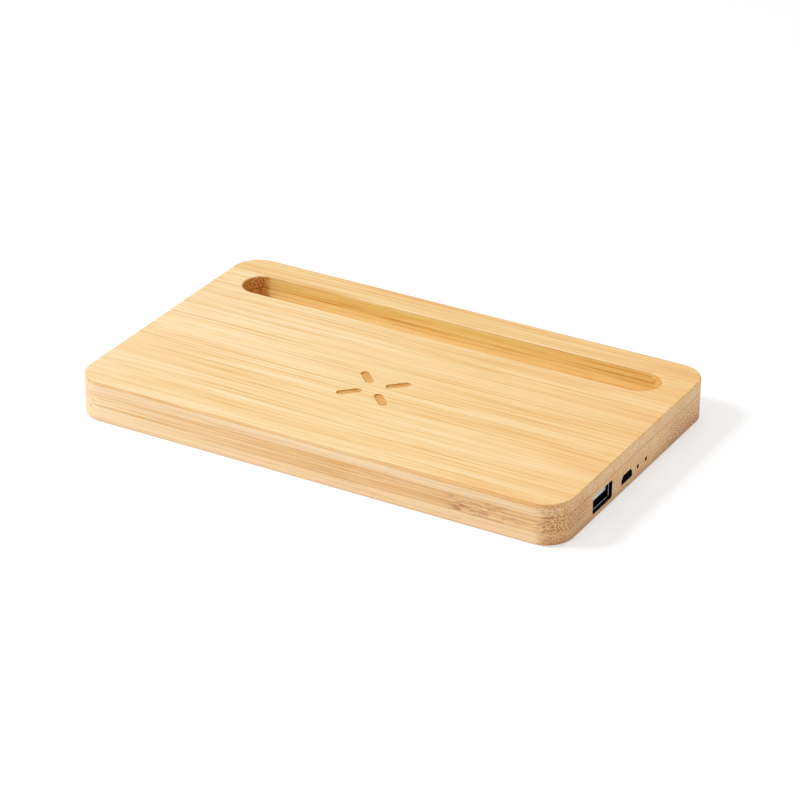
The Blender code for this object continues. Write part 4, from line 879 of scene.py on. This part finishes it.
# %% Mould the cover
COVER_HALF = (87.8, 52.8)
COVER_TOP = 1.7
COVER_CORNER = 7.8
LABEL_HALF = (30, 15)
LABEL_TOP = 0.7
FOOT_PLACES = [(x, y) for x in (-72, 72) for y in (-38, 38)]
FOOT_ROUND_RADIUS = 5.2
FOOT_ROUND_TOP = 0.9
SINK_RADIUS = 2.2
SINK_BOTTOM = 0.7
SINK_DEPTH = 0.9

half_x, half_y = COVER_HALF
cover = box("moulded_cover", (-half_x, -half_y, BOARD_BOTTOM), (half_x, half_y, COVER_TOP))
round_edges(cover, runs_along(2), COVER_CORNER, 16)
round_edges(cover, is_sharp, 0.2, 3)
mill(cover, -Vector(LABEL_HALF), Vector(LABEL_HALF), LABEL_TOP, 2, 6)
for spot in FOOT_PLACES:
    cut(cover, bar("foot_round", FOOT_ROUND_RADIUS, spot, UNDER, FOOT_ROUND_TOP))


def countersink(x, y):
    """Cutter with the shape of a countersink drill: head, cone and shank."""
    drill = bar("countersink", SINK_RADIUS, (x, y), UNDER, SINK_BOTTOM, 32)
    select(drill, "faces", lambda face: face.normal.z > 0.9)
    push_out((0, 0, SINK_DEPTH))
    bpy.ops.transform.resize(
        value=(0.5, 0.5, 1), center_override=(x * MM, y * MM, (SINK_BOTTOM + SINK_DEPTH) * MM))
    push_out((0, 0, OVERRUN))
    leave()
    return drill


for spot in COVER_SCREWS:
    cut(cover, countersink(*spot))
cover.data.materials.append(abs_plastic)
smooth(cover)
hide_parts("base_cover")
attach(cover, "root")
print("cover faces:", len(cover.data.polygons))

# %% Punch the feet
FOOT_RADIUS = 5
FOOT_HEIGHT = 0.8

foot_low, foot_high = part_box("rubber_foot_1")
foot_centre = (foot_low + foot_high) / 2
foot_place = (foot_centre.x / MM, foot_centre.y / MM)
first_foot = bar("punched_foot_1", FOOT_RADIUS, foot_place, 0, FOOT_HEIGHT)
lower_edge = round_edges(first_foot, sharp_where(lambda end: end.z < TOUCH), 0.3, 5)
first_foot.data.materials.append(silicone)
smooth(first_foot)
feet = [first_foot]
for number in (2, 3, 4):
    other_low, other_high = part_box(f"rubber_foot_{number}")
    grip(first_foot)
    bpy.ops.object.duplicate(linked=False)
    bpy.ops.transform.translate(value=(other_low + other_high) / 2 - foot_centre)
    feet.append(settle(bpy.context.object, f"punched_foot_{number}"))
for number, foot in enumerate(feet, 1):
    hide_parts(f"rubber_foot_{number}")
    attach(foot, "root")
print("feet:", len(feet), "edges eased on each:", lower_edge)

# %% [markdown]
# ## Sockets: nickel, moulded tongues and gold
#
# Both shells are folded from steel sheet and plated with nickel, which is smooth and bright
# outside. Inside they see little light, and their inner walls are painted nearly black as
# painted shade. The wide tongue is pale blue PBT, the small one black liquid crystal polymer,
# and the contacts are bronze with a thin plating of gold.

# %% Sockets: finishes
nickel, nickel_mm = grained(
    "nickel_plated_steel", "B9BBBD", "D3D4D5", 0.6, 0.22, 0.003, metallic=1)
nickel_at = add(nickel, "SeparateXYZ", [nickel_mm]).outputs


def between(value, low, high):
    """Two masks that are both 1 where a value of the nickel lies between two numbers."""
    above = add(nickel, "Math", [value, low], operation="GREATER_THAN")
    below = add(nickel, "Math", [value, high], operation="LESS_THAN")
    return above, below


# Inner walls of the wide shell and of the small one, half a sheet inside their outlines
wide_inside = (between(nickel_at["Y"], -31.75, -19.05), between(nickel_at["Z"], 2.95, 8.25))
small_inside = (between(nickel_at["Y"], -11.45, -4.35), between(nickel_at["Z"], 3.65, 6.10))
inside = add(nickel, "Math", [wide_inside, small_inside], operation="MAXIMUM")
behind_rim = add(nickel, "Math", [nickel_at["X"], 88.9], operation="LESS_THAN")
# Painted shade: the inner walls behind the rim are painted nearly black
tint(nickel, (inside, behind_rim), "1B1C1E")

pbt = grained("moulded_pale_blue_pbt", "D9E4EE", "E6EEF5", 0.9, 0.42, 0.01)[0]
polymer = grained("moulded_black_crystal_polymer", "121214", "1C1C1F", 0.4, 0.5, 0.01)[0]
gold_plate = grained("gold_plated_bronze", "CF9B3E", "E3B65C", 0.3, 0.26, 0.003, metallic=1)[0]
dress(nickel, "input_socket_shell")
dress(pbt, "output_socket_insulator")
dress(polymer, "input_socket_insulator")
dress(gold_plate, *numbered("output_socket_contact", 4), *numbered("input_socket_contact", 5))
print("nickel nodes:", len(nickel.node_tree.nodes))

# %% Ease the wide tongue
# The tool leaves its edges round, so they are rounded after the faces are joined
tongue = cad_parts["output_socket_insulator"]
mould_edge = tongue.modifiers.new("Mould edge", "BEVEL")
mould_edge.width = 0.18 * MM
mould_edge.segments = 3
mould_edge.limit_method = "ANGLE"
mould_edge.angle_limit = math.radians(60)
tongue.modifiers.move(tongue.modifiers.find("Mould edge"), 1)
print("steps on the wide tongue:", [step.name for step in tongue.modifiers])

# %% [markdown]
# ## The wide shell: folded sheet
#
# The shell is a strip of 0.3 mm steel, folded round the tongue. A box with round edges and no
# ends has that shape, and a Solidify modifier gives it the thickness of the sheet. The press
# leaves its mouth slightly round, which draws the thin light line round the opening. Two leaf
# springs rise from its floor to grip a plug, and four legs go down through the circuit board.

# %% Fold the wide shell
SHEET = 0.3
SHELL_HALF = (6.55, 2.85)
SHELL_ENDS = (75, 89)

shell_y, shell_z = OUTPUT_CENTRE
shell_low = Vector(OUTPUT_CENTRE) - Vector(SHELL_HALF)
shell_high = Vector(OUTPUT_CENTRE) + Vector(SHELL_HALF)
shell = box("folded_shell", (SHELL_ENDS[0], *shell_low), (SHELL_ENDS[1], *shell_high))
round_edges(shell, runs_along(0), 0.6, 6)
select(shell, "faces", lambda face: abs(face.normal.x) > 0.9)
bpy.ops.mesh.delete(type="FACE")
leave()
grip(shell)
sheet = shell.modifiers.new("Sheet", "SOLIDIFY")
sheet.thickness = SHEET * MM
sheet.offset = -1
sheet.use_even_offset = True
bpy.ops.object.modifier_apply(modifier=sheet.name)
mouth = round_edges(shell, sharp_where(lambda end: end.x > SHELL_ENDS[1] - TOUCH), 0.1, 3)
print("mouth edges eased:", mouth)

# %% Springs and legs of the wide shell
LEAF_HALF = 0.9
LEAF_OFFSET = 2.9
LEAF_ENDS = (80, 87)
RIDGE_X = 84.5
RIDGE_RISE = 0.45
TIP_RISE = 0.15
LEG_PLACES = (77.5, 84.5)
LEG_HALF = 0.6
LEG_REACH = (6.4, 7.6)
LEG_HEIGHTS = (4.0, 4.3)
LEG_DROP = 1.9


def leaf_spring(middle):
    """Strip that rises from the shell's floor to a ridge and falls again to its free end."""
    floor_top = shell_z - SHELL_HALF[1] + SHEET
    leaf = box(
        "leaf_spring", (LEAF_ENDS[0], middle - LEAF_HALF, floor_top - 0.1),
        (LEAF_ENDS[1], middle + LEAF_HALF, floor_top + 0.2))
    select(leaf, "faces", lambda face: True)
    bpy.ops.mesh.bisect(plane_co=(RIDGE_X * MM, 0, 0), plane_no=(1, 0, 0))
    leave()
    shift(leaf, lambda vertex: abs(vertex.co.x / MM - RIDGE_X) < TOUCH, (0, 0, RIDGE_RISE))
    shift(leaf, lambda vertex: vertex.co.x / MM > LEAF_ENDS[1] - TOUCH, (0, 0, TIP_RISE))
    return leaf


def bent_leg(x, side):
    """Leg that leaves the shell's wall sideways and bends down: side is -1 or 1."""
    inner, bend = (shell_y + side * reach for reach in LEG_REACH)
    low, high = LEG_HEIGHTS
    leg = box(
        "leg", (x - LEG_HALF, min(inner, bend), low), (x + LEG_HALF, max(inner, bend), high))
    select(leg, "faces", lambda face: face.normal.y * side > 0.9)
    push_out((0, side * SHEET, 0))
    leave()
    select(
        leg, "faces",
        lambda face: face.normal.z < -0.9 and face.calc_center_median().y * side > bend * side * MM)
    push_out((0, 0, -LEG_DROP))
    leave()
    return leg


for side in (-1, 1):
    combine(shell, leaf_spring(shell_y + side * LEAF_OFFSET), "UNION")
for x in LEG_PLACES:
    for side in (-1, 1):
        combine(shell, bent_leg(x, side), "UNION")
shell.data.materials.append(nickel)
smooth(shell)
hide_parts("output_socket_shell")
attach(shell, "root")
print("shell faces:", len(shell.data.polygons))

# %% [markdown]
# ## Lamps
#
# A lamp is cast from clear epoxy round its two leads. Clear things need a real transmission
# and an index of refraction, 1.54 for epoxy, and a faint haze keeps the lens from looking like
# empty air. The leads are copper with a dip of tin, grey and a little dull.

# %% Lamps: finishes
epoxy = grained("clear_cast_epoxy", "D5E2DA", "E4EEE8", 1.2, 0.10, 0.004)[0]
shade(epoxy, {"Transmission Weight": 0.85, "IOR": 1.54})
tinned = grained("tinned_copper_wire", "BFC1C3", "D6D8D9", 0.3, 0.38, 0.006, metallic=1)[0]
dress(epoxy, "led_1_lens", "led_2_lens")
dress(tinned, "led_1_anode", "led_1_cathode", "led_2_anode", "led_2_cathode")
print("finished:", epoxy.name, tinned.name)

# %% [markdown]
# ## Coil, film and ferrite
#
# The coil is wound from round copper wire with a clear enamel, so a reddish metal lies under a
# glossy coat. The film over it is polyimide, amber and half clear. Under it lies a disc of
# sintered ferrite, a dark grey ceramic with a fine speckle that soaks up stray field.

# %% Coil, film and ferrite: finishes
copper = grained("enamelled_copper_wire", "A6572C", "C47443", 0.7, 0.30, 0.004, metallic=1)[0]
shade(copper, {"Coat Weight": 0.6, "Coat Roughness": 0.12})
film = grained("polyimide_film", "B4701C", "C98930", 4.0, 0.22, 0.02)[0]
shade(film, {"Transmission Weight": 0.4, "IOR": 1.7})
sintered, sintered_mm = grained("sintered_ferrite", "232325", "323134", 0.5, 0.62, 0.03)
speck_distance = add(sintered, "TexVoronoi", [sintered_mm, 1.6])
tint(sintered, add(sintered, "MapRange", [speck_distance, 0.16, 0.08]), "4A494C")
dress(copper, "transmitter_coil")
dress(film, "coil_tape")
dress(sintered, "ferrite_shield", "power_inductor")
print("finished:", copper.name, film.name, sintered.name)

# %% [markdown]
# ## Circuit board
#
# The board is glass cloth in epoxy, with copper tracks under a green solder mask. Through the
# mask a track shows as a lighter green line, and a via as a small tinned dot. The tracks run
# 2 to 3 mm apart round the parts, which the borders between cells of a Voronoi pattern
# resemble. At the sawn edges of the board the bare laminate shows its weave, pale tan.

# %% Circuit board: finish
laminate, laminate_mm = grained(
    "solder_masked_glass_laminate", "0F4A2B", "155A35", 0.8, 0.34, 0.01)
track_distance = add(
    laminate, "TexVoronoi", [laminate_mm, 0.42], feature="DISTANCE_TO_EDGE",
    voronoi_dimensions="2D")
tint(laminate, add(laminate, "MapRange", [track_distance, 0.07, 0.05]), "2E8050")
via_distance = add(laminate, "TexVoronoi", [laminate_mm, 0.34], voronoi_dimensions="2D")
tint(laminate, add(laminate, "MapRange", [via_distance, 0.13, 0.11]), "C9CBC8")
weave = add(laminate, "TexBrick", {
    "Vector": laminate_mm, "Scale": 1, "Color1": "C9BE8C", "Color2": "B9AD78",
    "Mortar": "9C9263", "Brick Width": 0.8, "Row Height": 0.25, "Mortar Size": 0.03})
laminate_normal = add(laminate, "TexCoord").outputs["Normal"]
laminate_up = add(laminate, "SeparateXYZ", [laminate_normal]).outputs["Z"]
laminate_flat = add(laminate, "Math", [laminate_up], operation="ABSOLUTE")
tint(laminate, add(laminate, "Math", [laminate_flat, 0.5], operation="LESS_THAN"), weave)
shade(laminate, {"Coat Weight": 0.3})
dress(laminate, "circuit_board")
print("board nodes:", len(laminate.node_tree.nodes))

# %% [markdown]
# ## Chips, capacitors and cans
#
# Chips are moulded in black epoxy and soldered by tinned pads along their feet, half a
# millimetre apart. A ceramic capacitor is a tan block with tinned caps on its two ends, and
# the sense resistor is a black one. The aluminium cans are drawn from sheet, with fine upright
# lines, and the crystal hides in a smooth nickel can.

# %% Chips: finish with pads
PAD_PITCH = 0.5
PAD_HEIGHT = 0.22

resin, resin_mm = grained("moulded_black_epoxy", "17171A", "232327", 0.25, 0.58, 0.02)
resin_at = add(resin, "SeparateXYZ", [resin_mm]).outputs
chip_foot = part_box("controller_chip")[0].z / MM
low_down = add(resin, "Math", [resin_at["Z"], chip_foot + PAD_HEIGHT], operation="LESS_THAN")
pad_rows = []
for axis in ("X", "Y"):
    step = add(resin, "Math", [resin_at[axis], PAD_PITCH], operation="MODULO")
    size = add(resin, "Math", [step], operation="ABSOLUTE")
    pad_rows.append(add(resin, "Math", [size, PAD_PITCH / 2], operation="LESS_THAN"))
pad = add(resin, "Math", [low_down, tuple(pad_rows)], **TIMES)
tint(resin, pad, "BDBFC0")
shade(resin, {"Metallic": pad})
dress(resin, "controller_chip", "power_stage_chip", "output_switch_chip")
print("chips stand", round(chip_foot, 2), "mm over the desk")


# %% Blocks with tinned ends
def end_capped(name, solid, dark, light, cap):
    """Finish of a small block whose two ends along X are tinned over a length in mm."""
    made, in_mm = grained(name, dark, light, 0.4, 0.45, 0.01)
    low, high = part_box(solid)
    middle = (low.x + high.x) / 2 / MM
    half = (high.x - low.x) / 2 / MM
    x = add(made, "SeparateXYZ", [in_mm]).outputs["X"]
    offset = add(made, "Math", [x, middle], operation="SUBTRACT")
    size = add(made, "Math", [offset], operation="ABSOLUTE")
    capped = add(made, "Math", [size, half - cap], operation="GREATER_THAN")
    tint(made, capped, "C6C8C9")
    shade(made, {"Metallic": capped})
    dress(made, solid)
    return round(middle, 2)


for solid in numbered("tuning_capacitor", 4):
    print(solid, "at x", end_capped(f"tinned_ceramic_{solid[-1]}", solid, "A98458", "BD976A", 0.55))
print("resistor at x", end_capped("tinned_resistor", "sense_resistor", "1A1A1C", "28282B", 0.45))

# %% Cans
drawn, drawn_mm = grained("drawn_aluminium", "C9CBCD", "DEDFE1", 0.9, 0.30, 0.003, metallic=1)
draw_line = stretched(drawn, drawn_mm, (9, 9, 0.3), 2)
plug(drawn, drawn.node_tree.nodes["Bump"], {
    "Height": draw_line, "Strength": 0.4, "Distance": 0.01 * MM})
smooth_can = grained("smooth_nickel_can", "B4B4AF", "CBCAC4", 1.1, 0.24, 0.003, metallic=1)[0]
dress(drawn, "bulk_capacitor_1", "bulk_capacitor_2")
dress(smooth_can, "crystal")
replaced = [name for name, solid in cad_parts.items() if not solid.modifiers]
print("solids that modelled pieces stand for:", replaced)

# %% [markdown]
# ## Floor and light
#
# The photograph is a catalogue picture: a white sweep, one large soft lamp at the upper left
# and white all round. The floor here is nearly white paper. For the camera alone it is part
# paper and part glow, so that it reads as white and the board's shadow stays a soft, even
# grey, as in the photograph. Seen from below the floor is clear.

# %% Floor
sweep = bpy.data.materials.new("white_paper")
sweep.use_nodes = True
sweep.node_tree.nodes.clear()
sweep_place = add(sweep, "TexCoord").outputs["Object"]
pulp = add(sweep, "TexNoise", [sweep_place, 900, 2])
paper_colour = add(sweep, "ValToRGB", [pulp], stops={0.3: "F1F1F0", 0.7: "F6F6F5"})
ray = add(sweep, "LightPath").outputs
seen = add(sweep, "Math", [ray["Is Camera Ray"], ray["Is Glossy Ray"]], operation="MAXIMUM")
paper = add(sweep, "BsdfDiffuse", [add(sweep, "Mix", [seen, paper_colour, "BCBCBC"], **OVER)])

# In front of the board the paper is blown out to white, right up to the board's lower edge
sweep_y = add(sweep, "SeparateXYZ", [sweep_place]).outputs["Y"]
blown_out = add(sweep, "MapRange", [sweep_y, -53.6 * MM, -54.4 * MM, 0.53, 0.95])
glow = add(sweep, "Emission", {"Strength": (seen, blown_out)})
lit_paper = add(sweep, "AddShader", [paper, glow])
clear = add(sweep, "BsdfTransparent")
from_below = add(sweep, "NewGeometry").outputs["Backfacing"]
add(sweep, "OutputMaterial", {
    "Surface": add(sweep, "MixShader", [from_below, lit_paper, clear])})

free_hands()
bpy.ops.mesh.primitive_plane_add(size=6)
floor = bpy.context.object
floor.name = "floor"
floor.data.materials.append(sweep)
print("floor nodes:", len(sweep.node_tree.nodes))

# %% Light
LAMP_PLACE = Vector((-0.78, -0.53, 0.98))
LAMP_SIZE = 0.22
LAMP_POWER = 8.2
SKY_STRENGTH = 0.72

world = bpy.data.worlds.new("studio")
bpy.context.scene.world = world
world.use_nodes = True
world.node_tree.nodes.clear()
sky_ray = add(world, "LightPath").outputs
sky_seen = add(
    world, "Math", [sky_ray["Is Camera Ray"], sky_ray["Is Transmission Ray"]],
    operation="MAXIMUM")
sky_strength = add(world, "MapRange", [sky_seen, 0, 1, SKY_STRENGTH, 1.0])
sky = add(world, "Background", {"Color": "FFFFFF", "Strength": sky_strength})
add(world, "OutputWorld", {"Surface": sky})

free_hands()
bpy.ops.object.light_add(type="AREA", location=LAMP_PLACE)
lamp = bpy.context.object
lamp.name = "softbox"
lamp.data.shape = "SQUARE"
lamp.data.size = LAMP_SIZE
lamp.data.energy = LAMP_POWER
lamp.rotation_euler = LAMP_PLACE.to_track_quat("Z", "Y").to_euler()
bpy.context.scene.view_settings.view_transform = "Standard"
print("lamp distance:", round(LAMP_PLACE.length, 2), "m")
